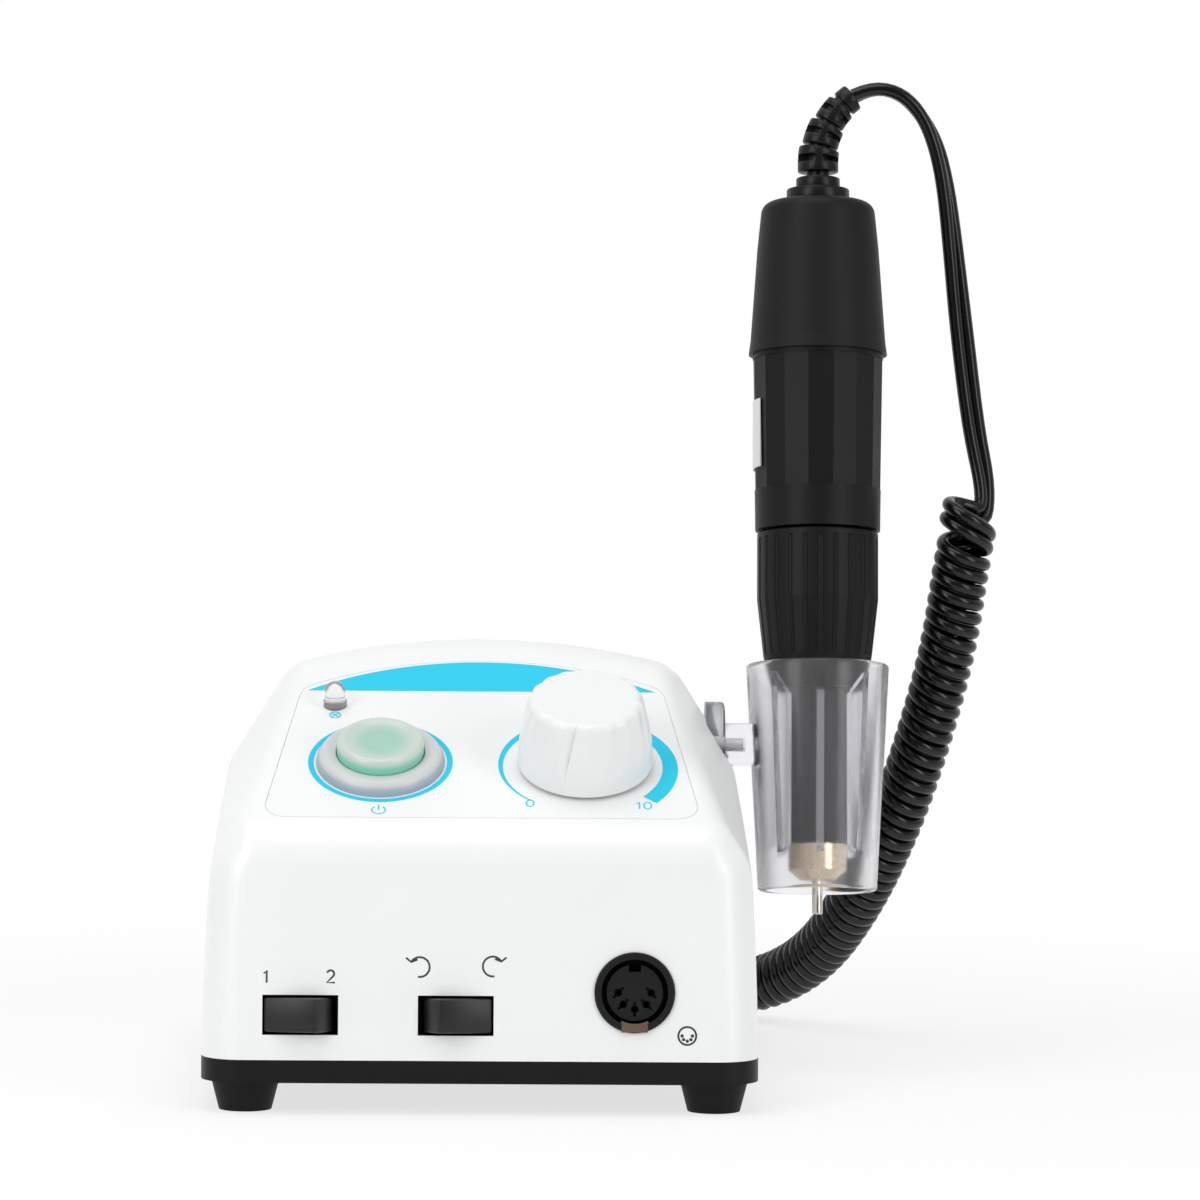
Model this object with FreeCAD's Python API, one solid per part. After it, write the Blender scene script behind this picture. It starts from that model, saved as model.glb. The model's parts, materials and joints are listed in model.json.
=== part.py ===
import FreeCAD, Part
import math
import os
from FreeCAD import Placement, Rotation, Vector

# A mains nail drill set: a wedge-shaped control box, a clear cradle on its right side, and a
# handpiece with a curly twin lead that stands in the cradle. All sizes are in millimetres.
# X runs to the right, Y to the back and Z up. The model is drawn from the middle of the box's
# front edge at table height, and moved at the end so that its origin lies under its middle.

# Feet and tray
FOOT_HEIGHT = 6.8
FOOT_TOP_RADIUS = 7.4
FOOT_BOTTOM_RADIUS = 5.65
FOOT_INSET = 9.4
FOOT_SETBACK = 10.5
FOOT_POCKET_RADIUS = 3.3
FOOT_POCKET_DEPTH = 4.0
TRAY_HEIGHT = 4.9
TRAY_FLOOR = 2.2
TRAY_LIP = 2.4
TRAY_LIP_THICKNESS = 1.6
LIP_CLEARANCE = 0.25
VENT_COUNT = 7
VENT_PITCH = 9.0
VENT_WIDTH = 3.0
VENT_LENGTH = 26.0

# Housing cover
BOX_HALF_WIDTH = 59.5
BOX_DEPTH = 150.0
WALL = 2.5
COVER_HEIGHT = 83.7
WAIST_DRAW_IN = 1.2
WAIST_HEIGHT = 30.3
TOP_DRAW_IN = 4.9
ROOF_RADIUS = 167.0
ROOF_FALL = 2.8
FRONT_LEAN = 5.0
REAR_LEAN = 2.0
PANEL_SLOPE = 28.4
PANEL_SETBACK = 8.0
PANEL_HEIGHT = 49.7
BEVEL_LOW_INSET = 3.3
BEVEL_HIGH_INSET = 14.7
BEVEL_DROP = 26.4
BEVEL_RISE = 18.0
BEVEL_FRONT_DROP = 6.9
CORNER_RADIUS = 9.0
REAR_RADIUS = 7.0
BROW_RADIUS = 11.0
RIDGE_RADIUS = 10.0
SHOULDER_RADIUS = 6.0
WAIST_RADIUS = 12.0
PILLAR_RADIUS = 3.0

# Fasteners
SCREW_RADIUS = 1.5
SCREW_HEAD_RADIUS = 2.8
SCREW_HEAD_HEIGHT = 2.2
CASE_SCREW_LENGTH = 18.0

# Control panel, measured up the slope from its lower edge
OVERLAY_THICKNESS = 0.35
OVERLAY_LOWER_EDGE = 2.6
OVERLAY_LOWER_INSET = 12.6
OVERLAY_UPPER_INSET = 20.0
OVERLAY_UPPER_EDGE = 53.4
OVERLAY_APEX = 64.8
OVERLAY_LOWER_RADIUS = 4.5
OVERLAY_UPPER_RADIUS = 6.0
OVERLAY_GAP = 0.15
LAMP_X = -32.2
LAMP_S = 46.6
LAMP_RADIUS = 2.3
LAMP_FLANGE_RADIUS = 2.6
LAMP_FLANGE_HEIGHT = 1.0
LAMP_HEIGHT = 5.8
BUTTON_X = -21.9
BUTTON_S = 24.0
COLLAR_RADIUS = 13.9
COLLAR_HEIGHT = 2.5
COLLAR_EDGE = 0.4
COLLAR_BARREL_RADIUS = 12.4
COLLAR_DEPTH = 12.0
BUTTON_RADIUS = 9.4
BUTTON_HEIGHT = 6.3
BUTTON_SKIRT = 7.0
BUTTON_FLANGE = 1.2
BUTTON_WALL = 1.7
BUTTON_EDGE = 2.0
BUTTON_DISH_RADIUS = 6.9
BUTTON_DISH = 0.6
BUTTON_TRAVEL = 2.5
BUTTON_GAP = 0.25
SWITCH_SIDE = 15.0
SWITCH_HEIGHT = 12.0
PLUNGER_RADIUS = 3.0
KNOB_X = 22.3
KNOB_S = 23.8
KNOB_RADIUS = 14.5
KNOB_TOP_RADIUS = 11.8
KNOB_HEIGHT = 16.9
KNOB_LIFT = 0.8
KNOB_WALL = 2.0
KNOB_HUB_RADIUS = 5.2
KNOB_GRIPS = 18
KNOB_GRIP_DEPTH = 0.5
KNOB_GRIP_RADIUS = 2.0
POINTER_ANGLE = -104.0
POINTER_WIDTH = 1.1
POINTER_FOOT = 4.5
SHAFT_RADIUS = 3.0
SHAFT_CLEARANCE = 0.05
POT_RADIUS = 8.2
POT_DEPTH = 9.0
BUSHING_RADIUS = 3.5
BUSHING_HEIGHT = 4.0
NUT_ACROSS_FLATS = 10.0
NUT_HEIGHT = 2.0

# Front wall, measured up the wall from its lower edge
ROCKER_INSETS = (21.3, 54.3)
ROCKER_TURNS = (-19.0, 19.0)
ROCKER_V = 9.6
ROCKER_OPENING = (16.1, 8.5)
ROCKER_TIP_HALF = 6.0
ROCKER_END_HALF = 7.3
ROCKER_TIP_HEIGHT = 6.1
ROCKER_END_HEIGHT = 2.0
ROCKER_KEEL_DEPTH = 4.5
ROCKER_HEEL_DEPTH = 2.5
ROCKER_PIVOT_DEPTH = 3.6
ROCKER_PIN_RADIUS = 0.9
ROCKER_GAP = 0.4
ROCKER_BODY = (17.4, 12.0, 11.0)
ROCKER_CAVITY_DEPTH = 8.2
TERMINAL = (0.8, 3.0, 5.0)
SOCKET_INSET = 26.7
SOCKET_V = 14.7
SOCKET_FLANGE_RADIUS = 8.6
SOCKET_FLANGE_HEIGHT = 0.7
SOCKET_BARREL_RADIUS = 7.8
SOCKET_BORE_RADIUS = 7.1
SOCKET_DEPTH = 11.0
SOCKET_INSERT_RADIUS = 6.0
SOCKET_INSERT_RECESS = 0.4
SOCKET_FLOOR = 1.7
SOCKET_PIN_CIRCLE = 3.5
SOCKET_PINS = 5
SOCKET_HOLE_RADIUS = 0.85
SOCKET_SLOT = (3.1, 0.6, 1.6)
SOCKET_SLOT_TURNS = (225, 225, 270, 315, 315)
CONTACT_SETBACK = 2.0
SOCKET_KEY = (2.6, 1.6)
SHIELD_ARC = 50.0
SHIELD_THICKNESS = 0.5
SHIELD_TAB_WIDTH = 5.6
SHIELD_TAB_END = 8.4

# Rear wall, measured up the wall from its lower edge; x is as seen from behind
INLET_X = 30.0
INLET_V = 30.0
INLET_FLANGE = (31.0, 24.0, 2.0)
INLET_BODY = (27.2, 19.8, 22.0)
INLET_CAVITY = (24.4, 16.8, 17.0)
INLET_BLADE = (2.0, 4.0)
INLET_BLADE_SPACING = 7.0
INLET_EARTH_OFFSET = 4.0
INLET_BLADE_DROP = 3.5
INLET_BLADE_REACH = 14.0
INLET_TAIL = 6.0
FUSE_X = -2.0
FUSE_V = 30.0
FUSE_BARREL_RADIUS = 6.2
FUSE_FLANGE_RADIUS = 8.0
FUSE_FLANGE_HEIGHT = 1.5
FUSE_DEPTH = 30.0
FUSE_LINK_RADIUS = 2.6
FUSE_LINK_LENGTH = 20.0
FUSE_CAP_RADIUS = 6.4
FUSE_CAP_HEIGHT = 5.0
FUSE_CAP_SKIRT_RADIUS = 4.6
FUSE_CAP_SKIRT_DEPTH = 7.0
JACK_X = -32.0
JACK_V = 30.0
JACK_BARREL_RADIUS = 3.0
JACK_BORE_RADIUS = 1.8
JACK_BORE_DEPTH = 15.0
JACK_BARREL_HEIGHT = 2.6
JACK_BODY = (11.0, 9.0, 15.0)
JACK_NUT_RADIUS = 4.6
JACK_NUT_HEIGHT = 1.8

# Inside
BOARD_LEFT = 6.0
BOARD_INSET = 6.5
BOARD_SETBACK = 27.0
BOARD_REAR_SETBACK = 43.0
BOARD_THICKNESS = 1.6
STANDOFF_HEIGHT = 6.0
STANDOFF_RADIUS = 3.2
STANDOFF_INSET = 5.0
CAPACITORS = ((18.0, 46.0, 8.0, 25.0), (18.0, 66.0, 6.3, 20.0))
SINK_INSET = 19.5
SINK_REAR_SETBACK = 58.0
SINK_LENGTH = 40.0
SINK_BASE = 3.0
SINK_HEIGHT = 26.0
SINK_FINS = 6
SINK_FIN_LENGTH = 9.0
SINK_FIN_THICKNESS = 1.4
TRANSISTOR = (4.5, 10.0, 15.0)
TRANSISTOR_LEG = 3.2
CORE_X = -24.0
CORE_REAR_SETBACK = 65.0
CORE_STACK = 28.0
CORE_LENGTH = 57.0
CORE_HEIGHT = 47.5
CORE_YOKE = 9.5
WINDING_BUILD = 9.0
WINDING_GAP = 0.25
CLAMP_THICKNESS = 1.0
CLAMP_FOOT = 9.0
PEDESTAL_HEIGHT = 3.0

# Cradle at the right side
CRADLE_Y = 80.0
CRADLE_HEIGHT = 61.0
CUP_REACH = 15.65
LEAN = 10.0
SEAT_INSET = 9.6
SEAT_CLEARANCE = 0.5
DISC_RADIUS = 9.7
DISC_THICKNESS = 4.3
PIVOT_RADIUS = 4.0
PIVOT_CLEARANCE = 0.05
SEAT_PAD = 2.8
STEM_HEIGHT = 9.2
STEM_WIDTH = 9.6
CUP_TOP = 18.2
CUP_BOTTOM = -32.6
CUP_TOP_RADIUS = 16.05
CUP_BOTTOM_RADIUS = 13.3
CUP_WALL = 1.9
RIB_COUNT = 8
RIB_THICKNESS = 1.6
RIB_INNER_RADIUS = 9.4
RIB_TOP = 15.8
RIB_SEAT = 10.8
RIB_BOTTOM = -24.5
CRADLE_SCREW_HEAD_RADIUS = 6.0
CRADLE_SCREW_HEAD = 2.0
CRADLE_SCREW_LENGTH = 12.0

# Handpiece, measured along its axis from the cradle's pivot
CHUCK_END = -30.2
CHUCK_RADIUS = 6.5
SLEEVE_END = -21.9
SLEEVE_RADIUS = 7.25
SLEEVE_BORE = 5.2
GRIP_END = 12.3
GRIP_END_RADIUS = 10.4
GRIP_KNEE = 19.9
GRIP_KNEE_RADIUS = 12.15
GRIP_WAIST = 32.8
GRIP_RADIUS = 13.6
GRIP_FLUTES = 24
GRIP_FLUTE_RADIUS = 0.8
GRIP_FLUTE_DEPTH = 0.35
GRIP_TOP = 48.0
BARREL_START = 48.4
BARREL_FRONT_RADIUS = 14.05
BARREL_REAR_RADIUS = 14.7
BARREL_BORE = 12.0
BARREL_FLATS = 16
FLATS_START = 57.5
FLATS_END = 87.3
BOOT_START = 88.4
BOOT_FLARE_RADIUS = 15.6
BOOT_RADIUS = 13.7
BOOT_TOP = 123.2
BOOT_TOP_RADIUS = 12.6
BOOT_EDGE = 2.8
BOOT_BORE = 12.4
NECK_FRONT_RADIUS = 9.0
NECK_GAP = 0.05
NECK_REAR_TOP = 112.0
MOTOR_FRONT = 56.0
MOTOR_LENGTH = 30.0
MAGNET_THICKNESS = 2.6
ARMATURE_RADIUS = 8.6
ARMATURE_SLOTS = 7
COMMUTATOR_RADIUS = 4.0
COMMUTATOR_LENGTH = 7.0
BRUSH_WIDTH = 3.0
SPINDLE_RADIUS = 2.5
BEARING_THICKNESS = 4.0
BEARING_SETBACK = 1.5
NOSE_BEARING_SPACING = 28.5
REAR_BEARING = 101.0
BEARING_GAP = 0.05
BUR_RADIUS = 1.175
BUR_END = -37.8
BUR_GRIPPED = 16.0
PLATE_START = 62.3
PLATE_END = 77.7
PLATE_ANGLE = 50.0
PLATE_THICKNESS = 0.25
GLAND_COLLARS = ((7.1, 3.0), (4.95, 2.6))
GLAND_STRAIGHT = 3.4
GLAND_BEND_RADIUS = 19.0
GLAND_CORE_RADIUS = 2.7
# Each ring's start and end along the strain relief, from where it bends, and its radius
GLAND_RINGS = ((-2.8, 3.1, 4.6), (4.1, 9.0, 4.05), (9.8, 14.4, 3.5), (15.3, 17.9, 3.2))
GLAND_TURN = math.degrees(GLAND_RINGS[-1][1] / GLAND_BEND_RADIUS)
GLAND_SLOT = 1.2
GLAND_WEB = 1.5

# Cord: a twin lead, of which each strand is a tube
STRAND_RADIUS = 1.28
STRAND_SPACING = 3.1
CURL_RADIUS = 5.0
# The middle of the twin lead as it hangs, and the way from its first strand to its second there
LEAD_POINTS = (
    ((87.2, 105.7, 220.3), (0.0, 1.0, 0.0)),
    ((93.6, 105.7, 219.2), (0.0, 1.0, 0.0)),
    ((98.3, 105.8, 214.7), (0.0, 1.0, 0.0)),
    ((101.8, 106.0, 208.3), (0.2, 1.0, 0.0)),
    ((104.4, 106.3, 198.5), (0.5, 1.0, 0.0)),
    ((106.4, 106.8, 185.0), (0.9, 0.8, 0.0)),
    ((108.6, 107.3, 166.0), (1.0, 0.5, 0.0)),
    ((111.8, 107.6, 144.0), (1.0, 0.7, 0.0)),
)
# The middle of the curls, from the top down to the table and along it behind the box
CURL_AXIS = (
    (110.8, 96.0, 126.5),
    (107.8, 98.3, 112.0),
    (105.2, 102.0, 93.0),
    (100.0, 109.5, 69.5),
    (94.6, 119.0, 50.0),
    (87.2, 131.5, 33.4),
    (77.0, 147.0, 18.8),
    (63.6, 161.0, 9.5),
    (48.0, 171.0, 7.2),
    (33.0, 175.5, 6.9),
    (18.0, 177.0, 6.9),
)
CURL_TURNS = 28.5
CURL_START_ANGLE = -135.0
FOLD_RUN = 6.7
FOLD_SPREAD = 4.6
# The end of the lead, from the curls to the plug, behind the box
TAIL_POINTS = (
    (1.0, 166.0, 9.5),
    (-14.0, 166.0, 8.0),
)
PLUG_RADIUS = 6.6
PLUG_SHELL_LENGTH = 12.0
PLUG_SHELL_WALL = 0.5
PLUG_GRIP_RADIUS = 7.4
PLUG_GRIP_LENGTH = 24.0
PLUG_GRIP_NECK = 3.6
PLUG_PIN_RADIUS = 0.7
PLUG_PIN_LENGTH = 9.0

# Worked out from the sizes above
COVER_BOTTOM = FOOT_HEIGHT + TRAY_HEIGHT
FLOOR_Z = FOOT_HEIGHT + TRAY_FLOOR
RIDGE_Z = COVER_BOTTOM + COVER_HEIGHT
CRADLE_Z = COVER_BOTTOM + CRADLE_HEIGHT
PANEL_RISE = math.tan(math.radians(PANEL_SLOPE))
RIDGE_SETBACK = PANEL_SETBACK + (COVER_HEIGHT - PANEL_HEIGHT) / PANEL_RISE
ROCKER_XS = [inset - BOX_HALF_WIDTH for inset in ROCKER_INSETS]
SOCKET_X = BOX_HALF_WIDTH - SOCKET_INSET
BOARD_X = (BOARD_LEFT, BOX_HALF_WIDTH - BOARD_INSET)
BOARD_Y = (BOARD_SETBACK, BOX_DEPTH - BOARD_REAR_SETBACK)
SINK_X = BOX_HALF_WIDTH - SINK_INSET
SINK_END = BOX_DEPTH - SINK_REAR_SETBACK
SINK_Y = (SINK_END - SINK_LENGTH, SINK_END)
CORE_CENTRE = (CORE_X, BOX_DEPTH - CORE_REAR_SETBACK)
SEAT_X = BOX_HALF_WIDTH - SEAT_INSET
CUP_X = BOX_HALF_WIDTH + CUP_REACH
FOOT_X = BOX_HALF_WIDTH - FOOT_INSET
FOOT_YS = (FOOT_SETBACK, BOX_DEPTH - FOOT_SETBACK)
BOARD_Z = FLOOR_Z + STANDOFF_HEIGHT
BOARD_TOP = BOARD_Z + BOARD_THICKNESS
CORE_Z = FLOOR_Z + PEDESTAL_HEIGHT
PANEL = Placement(
    Vector(0, PANEL_SETBACK, COVER_BOTTOM + PANEL_HEIGHT), Rotation(Vector(1, 0, 0), PANEL_SLOPE)
)
FRONT = Placement(Vector(0, 0, COVER_BOTTOM), Rotation(Vector(1, 0, 0), 90 - FRONT_LEAN))
REAR = Placement(
    Vector(0, BOX_DEPTH, COVER_BOTTOM),
    Rotation(Vector(0, 0, 1), 180).multiply(Rotation(Vector(1, 0, 0), 90 - REAR_LEAN)),
)
HAND = Placement(Vector(CUP_X, CRADLE_Y, CRADLE_Z), Rotation(Vector(1, 0, 0), -LEAN))
STEM = Placement(
    Vector(0, CRADLE_Y, CRADLE_Z),
    Rotation(Vector(1, 0, 0), -LEAN).multiply(Rotation(Vector(0, 1, 0), 90)),
)


# Shapes that everything is made of


def block(x0, x1, y0, y1, z0, z1):
    return Part.makeBox(x1 - x0, y1 - y0, z1 - z0, Vector(x0, y0, z0))


def centred(width, height, z0, z1, x=0.0, y=0.0):
    return block(x - width / 2, x + width / 2, y - height / 2, y + height / 2, z0, z1)


def rod(radius, z0, z1, x=0.0, y=0.0):
    return Part.makeCylinder(radius, z1 - z0, Vector(x, y, z0))


def ring(outer, inner, z0, z1, x=0.0, y=0.0):
    return rod(outer, z0, z1, x, y).cut(rod(inner, z0 - 1, z1 + 1, x, y))


def turned(points):
    """A solid of revolution about Z from its outline of (radius, height) points."""
    outline = [Vector(r, 0, z) for r, z in points]
    return Part.Face(Part.makePolygon(outline + outline[:1])).revolve(
        Vector(0, 0, 0), Vector(0, 0, 1), 360
    )


def prism(points, z0, z1):
    """A straight solid over a polygon of (x, y) points."""
    outline = [Vector(x, y, z0) for x, y in points]
    return Part.Face(Part.makePolygon(outline + outline[:1])).extrude(Vector(0, 0, z1 - z0))


def middle(edge):
    return edge.valueAt((edge.FirstParameter + edge.LastParameter) / 2)


def softened(shape, radius, picked):
    """The shape with one radius on every edge whose middle is picked."""
    edges = [e for e in shape.Edges if e.Length > 0.01 and picked(middle(e))]
    return shape.makeFillet(radius, edges) if edges else shape


def put(shape, frame):
    moved = shape.copy()
    moved.Placement = frame.multiply(moved.Placement)
    return moved


def group(shapes):
    return Part.makeCompound(list(shapes))


def sector(outer, inner, angle, middle_angle, z0, z1):
    """A piece of a ring that spans an angle about a middle direction."""
    wedge = Part.makeCylinder(outer, z1 - z0, Vector(0, 0, z0), Vector(0, 0, 1), angle)
    wedge = wedge.cut(rod(inner, z0 - 1, z1 + 1))
    wedge.rotate(Vector(0, 0, 0), Vector(0, 0, 1), middle_angle - angle / 2)
    return wedge


# Housing cover


def inset_line(start, angle, inset):
    """A line in the side view, given by a point and a direction, moved inwards to its right."""
    heading = (math.cos(angle), math.sin(angle))
    return (start[0] + heading[1] * inset, start[1] - heading[0] * inset), heading


def crossing(first, second):
    (p, d), (q, e) = first, second
    along = ((p[0] - q[0]) * e[1] - e[0] * (p[1] - q[1])) / (e[0] * d[1] - d[0] * e[1])
    return p[0] + d[0] * along, p[1] + d[1] * along


def front_view_solid(inset):
    """The box's outline seen from the front, run back with the fall of the roof."""
    fall = math.tan(math.radians(ROOF_FALL))
    low = BOX_HALF_WIDTH
    waist = BOX_HALF_WIDTH - WAIST_DRAW_IN
    top = BOX_HALF_WIDTH - TOP_DRAW_IN
    eaves = RIDGE_Z - top * top / (2 * ROOF_RADIUS)
    foot = COVER_BOTTOM - 2 * TRAY_HEIGHT
    corners = [Vector(low, 0, foot), Vector(top, 0, eaves), Vector(-top, 0, eaves)]
    corners.append(Vector(-low, 0, foot))
    bends = [Vector(waist, 0, COVER_BOTTOM + WAIST_HEIGHT), Vector(0, 0, RIDGE_Z)]
    bends.append(Vector(-waist, 0, COVER_BOTTOM + WAIST_HEIGHT))
    edges = [Part.Arc(a, b, c).toShape() for a, b, c in zip(corners, bends, corners[1:])]
    under = [corners[3], Vector(-low, 0, foot - low), Vector(low, 0, foot - low), corners[0]]
    edges += [Part.LineSegment(a, b).toShape() for a, b in zip(under, under[1:])]
    outline = Part.Wire(edges)
    if inset:
        outline = outline.makeOffset2D(-inset)
    beyond = RIDGE_SETBACK / 2
    run = BOX_DEPTH + 2 * beyond
    outline.translate(Vector(0, -beyond, (RIDGE_SETBACK + beyond) * fall))
    return Part.Face(outline).extrude(Vector(0, run, -run * fall))


def side_view_solid(inset):
    """The wedge seen from the side: front wall, sloping panel and rear wall."""
    bottom = COVER_BOTTOM - (TRAY_HEIGHT if inset else 0)
    quarter = math.pi / 2
    lines = [
        ((0, bottom), (1, 0)),
        inset_line((0, COVER_BOTTOM), quarter - math.radians(FRONT_LEAN), inset),
        inset_line(
            (PANEL_SETBACK, COVER_BOTTOM + PANEL_HEIGHT), math.radians(PANEL_SLOPE), inset
        ),
        ((0, RIDGE_Z + RIDGE_SETBACK / 10), (1, 0)),
        inset_line((BOX_DEPTH, COVER_BOTTOM), math.radians(REAR_LEAN) - quarter, inset),
    ]
    corners = [crossing(a, b) for a, b in zip(lines, lines[1:] + lines[:1])]
    reach = 2 * BOX_HALF_WIDTH
    outline = [Vector(-reach, y, z) for y, z in corners]
    return Part.Face(Part.makePolygon(outline + outline[:1])).extrude(Vector(2 * reach, 0, 0))


def bevel_planes():
    """The two planes of the right shoulder: one follows the panel and one the roof."""
    station = RIDGE_SETBACK + CORNER_RADIUS / 2
    low = Vector(BOX_HALF_WIDTH - BEVEL_LOW_INSET, station, RIDGE_Z - BEVEL_DROP)
    high = Vector(BOX_HALF_WIDTH - BEVEL_HIGH_INSET, station, low.z + BEVEL_RISE)
    front = COVER_BOTTOM + PANEL_HEIGHT - BEVEL_FRONT_DROP
    ahead = Vector(low.x, PANEL_SETBACK, front)
    fall = math.radians(ROOF_FALL)
    along_roof = Vector(0, math.cos(fall), -math.sin(fall))
    across = high - low
    return low, [(ahead - low).cross(across).normalize(), across.cross(along_roof).normalize()]


def sharp_block(inset):
    solid = front_view_solid(inset).common(side_view_solid(inset))
    point, normals = bevel_planes()
    reach = 4 * BOX_DEPTH
    for side in (1, -1):
        for normal in normals:
            outward = normal if normal.x > 0 else normal * -1
            outward = Vector(outward.x * side, outward.y, outward.z)
            start = Vector(point.x * side, point.y, point.z) - outward * inset
            cutter = centred(reach, reach, 0, reach)
            cutter.Placement = Placement(start, Rotation(Vector(0, 0, 1), outward))
            solid = solid.cut(cutter)
    return solid.removeSplitter()


def edge_radius(point, inset):
    """The rounding of one of the block's edges, found from where its middle lies."""
    if point.z < COVER_BOTTOM + 1 or abs(point.z - COVER_BOTTOM) < 1:
        return 0
    if point.y > BOX_DEPTH - REAR_RADIUS:
        return REAR_RADIUS - inset
    if abs(point.x) < 1:
        return (RIDGE_RADIUS if point.y > RIDGE_SETBACK / 2 else BROW_RADIUS) - inset
    if point.y < PANEL_SETBACK:
        return CORNER_RADIUS - inset
    if abs(point.x) > BOX_HALF_WIDTH - 2 * BEVEL_LOW_INSET:
        return WAIST_RADIUS - inset
    on_seam = abs(point.y - RIDGE_SETBACK - CORNER_RADIUS / 2) < 1
    return 0 if on_seam else SHOULDER_RADIUS - inset


def rounded_block(inset):
    """The block with all of its edges rounded at once, each by its own radius."""
    solid = sharp_block(inset)
    document = FreeCAD.newDocument("rounding")
    base = document.addObject("Part::Feature", "base")
    base.Shape = solid
    rounding = document.addObject("Part::Fillet", "rounding")
    rounding.Base = base
    radii = [edge_radius(middle(edge), inset) for edge in solid.Edges]
    rounding.Edges = [(n + 1, r, r) for n, r in enumerate(radii) if r > 0]
    document.recompute()
    result = rounding.Shape.copy()
    FreeCAD.closeDocument(document.Name)
    return result


def overlay_outline(gap):
    """The overlay's outline on the panel, grown by a gap, with its arched upper edge."""
    lower = BOX_HALF_WIDTH - OVERLAY_LOWER_INSET
    upper = BOX_HALF_WIDTH - OVERLAY_UPPER_INSET
    points = [Vector(-lower, OVERLAY_LOWER_EDGE, 0), Vector(lower, OVERLAY_LOWER_EDGE, 0)]
    points += [Vector(upper, OVERLAY_UPPER_EDGE, 0), Vector(-upper, OVERLAY_UPPER_EDGE, 0)]
    edges = [Part.LineSegment(a, b).toShape() for a, b in zip(points, points[1:3])]
    edges.append(Part.Arc(points[2], Vector(0, OVERLAY_APEX, 0), points[3]).toShape())
    edges.append(Part.LineSegment(points[3], points[0]).toShape())
    face = Part.Face(Part.Wire(edges))
    plate = face.extrude(Vector(0, 0, 1))
    for radius, low in ((OVERLAY_LOWER_RADIUS, True), (OVERLAY_UPPER_RADIUS, False)):
        plate = softened(
            plate,
            radius,
            lambda m, low=low: abs(m.z - 0.5) < 0.1
            and abs(abs(m.x) - (lower if low else upper)) < 0.1
            and (m.y < OVERLAY_UPPER_EDGE / 2) == low,
        )
    outline = next(f for f in plate.Faces if abs(f.CenterOfMass.z) < 1e-6).OuterWire
    return outline.makeOffset2D(gap) if gap else outline


def overlay_plate(gap, z0, z1):
    plate = Part.Face(overlay_outline(gap)).extrude(Vector(0, 0, z1 - z0))
    plate.translate(Vector(0, 0, z0))
    return plate


def panel_holes(extra):
    """The holes for the lamp, the button's collar and the potentiometer, through the panel."""
    depth = 2 * WALL
    return [
        rod(LAMP_RADIUS + extra, -depth, depth, LAMP_X, LAMP_S),
        rod(COLLAR_BARREL_RADIUS + extra, -depth, depth, BUTTON_X, BUTTON_S),
        rod(BUSHING_RADIUS + extra, -depth, depth, KNOB_X, KNOB_S),
    ]


def pillars():
    """Four screw pillars that stand on the tray's floor, each tied to the walls by a rib."""
    made = []
    height = CASE_SCREW_LENGTH + WALL
    for y, inward in zip(FOOT_YS, (-1, 1)):
        for side in (1, -1):
            post = rod(PILLAR_RADIUS, FLOOR_Z, FLOOR_Z + height, side * FOOT_X, y)
            low, high = COVER_BOTTOM + TRAY_LIP + 1, FLOOR_Z + height
            reach = 2 * FOOT_INSET
            rib = block(0, reach, -WALL / 3, WALL / 3, low, high)
            rib.rotate(Vector(0, 0, 0), Vector(0, 0, 1), 45 * inward if side > 0 else 180 - 45 * inward)
            rib.translate(Vector(side * FOOT_X, y, 0))
            made += [post, rib]
    return made


def cradle_seat_pad():
    """The thicker disc inside the side wall that the cradle's pivot runs in."""
    pad = Part.makeCylinder(
        DISC_RADIUS + 3 * SEAT_CLEARANCE,
        SEAT_PAD,
        Vector(SEAT_X - SEAT_PAD, CRADLE_Y, CRADLE_Z),
        Vector(1, 0, 0),
    )
    return pad


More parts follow.
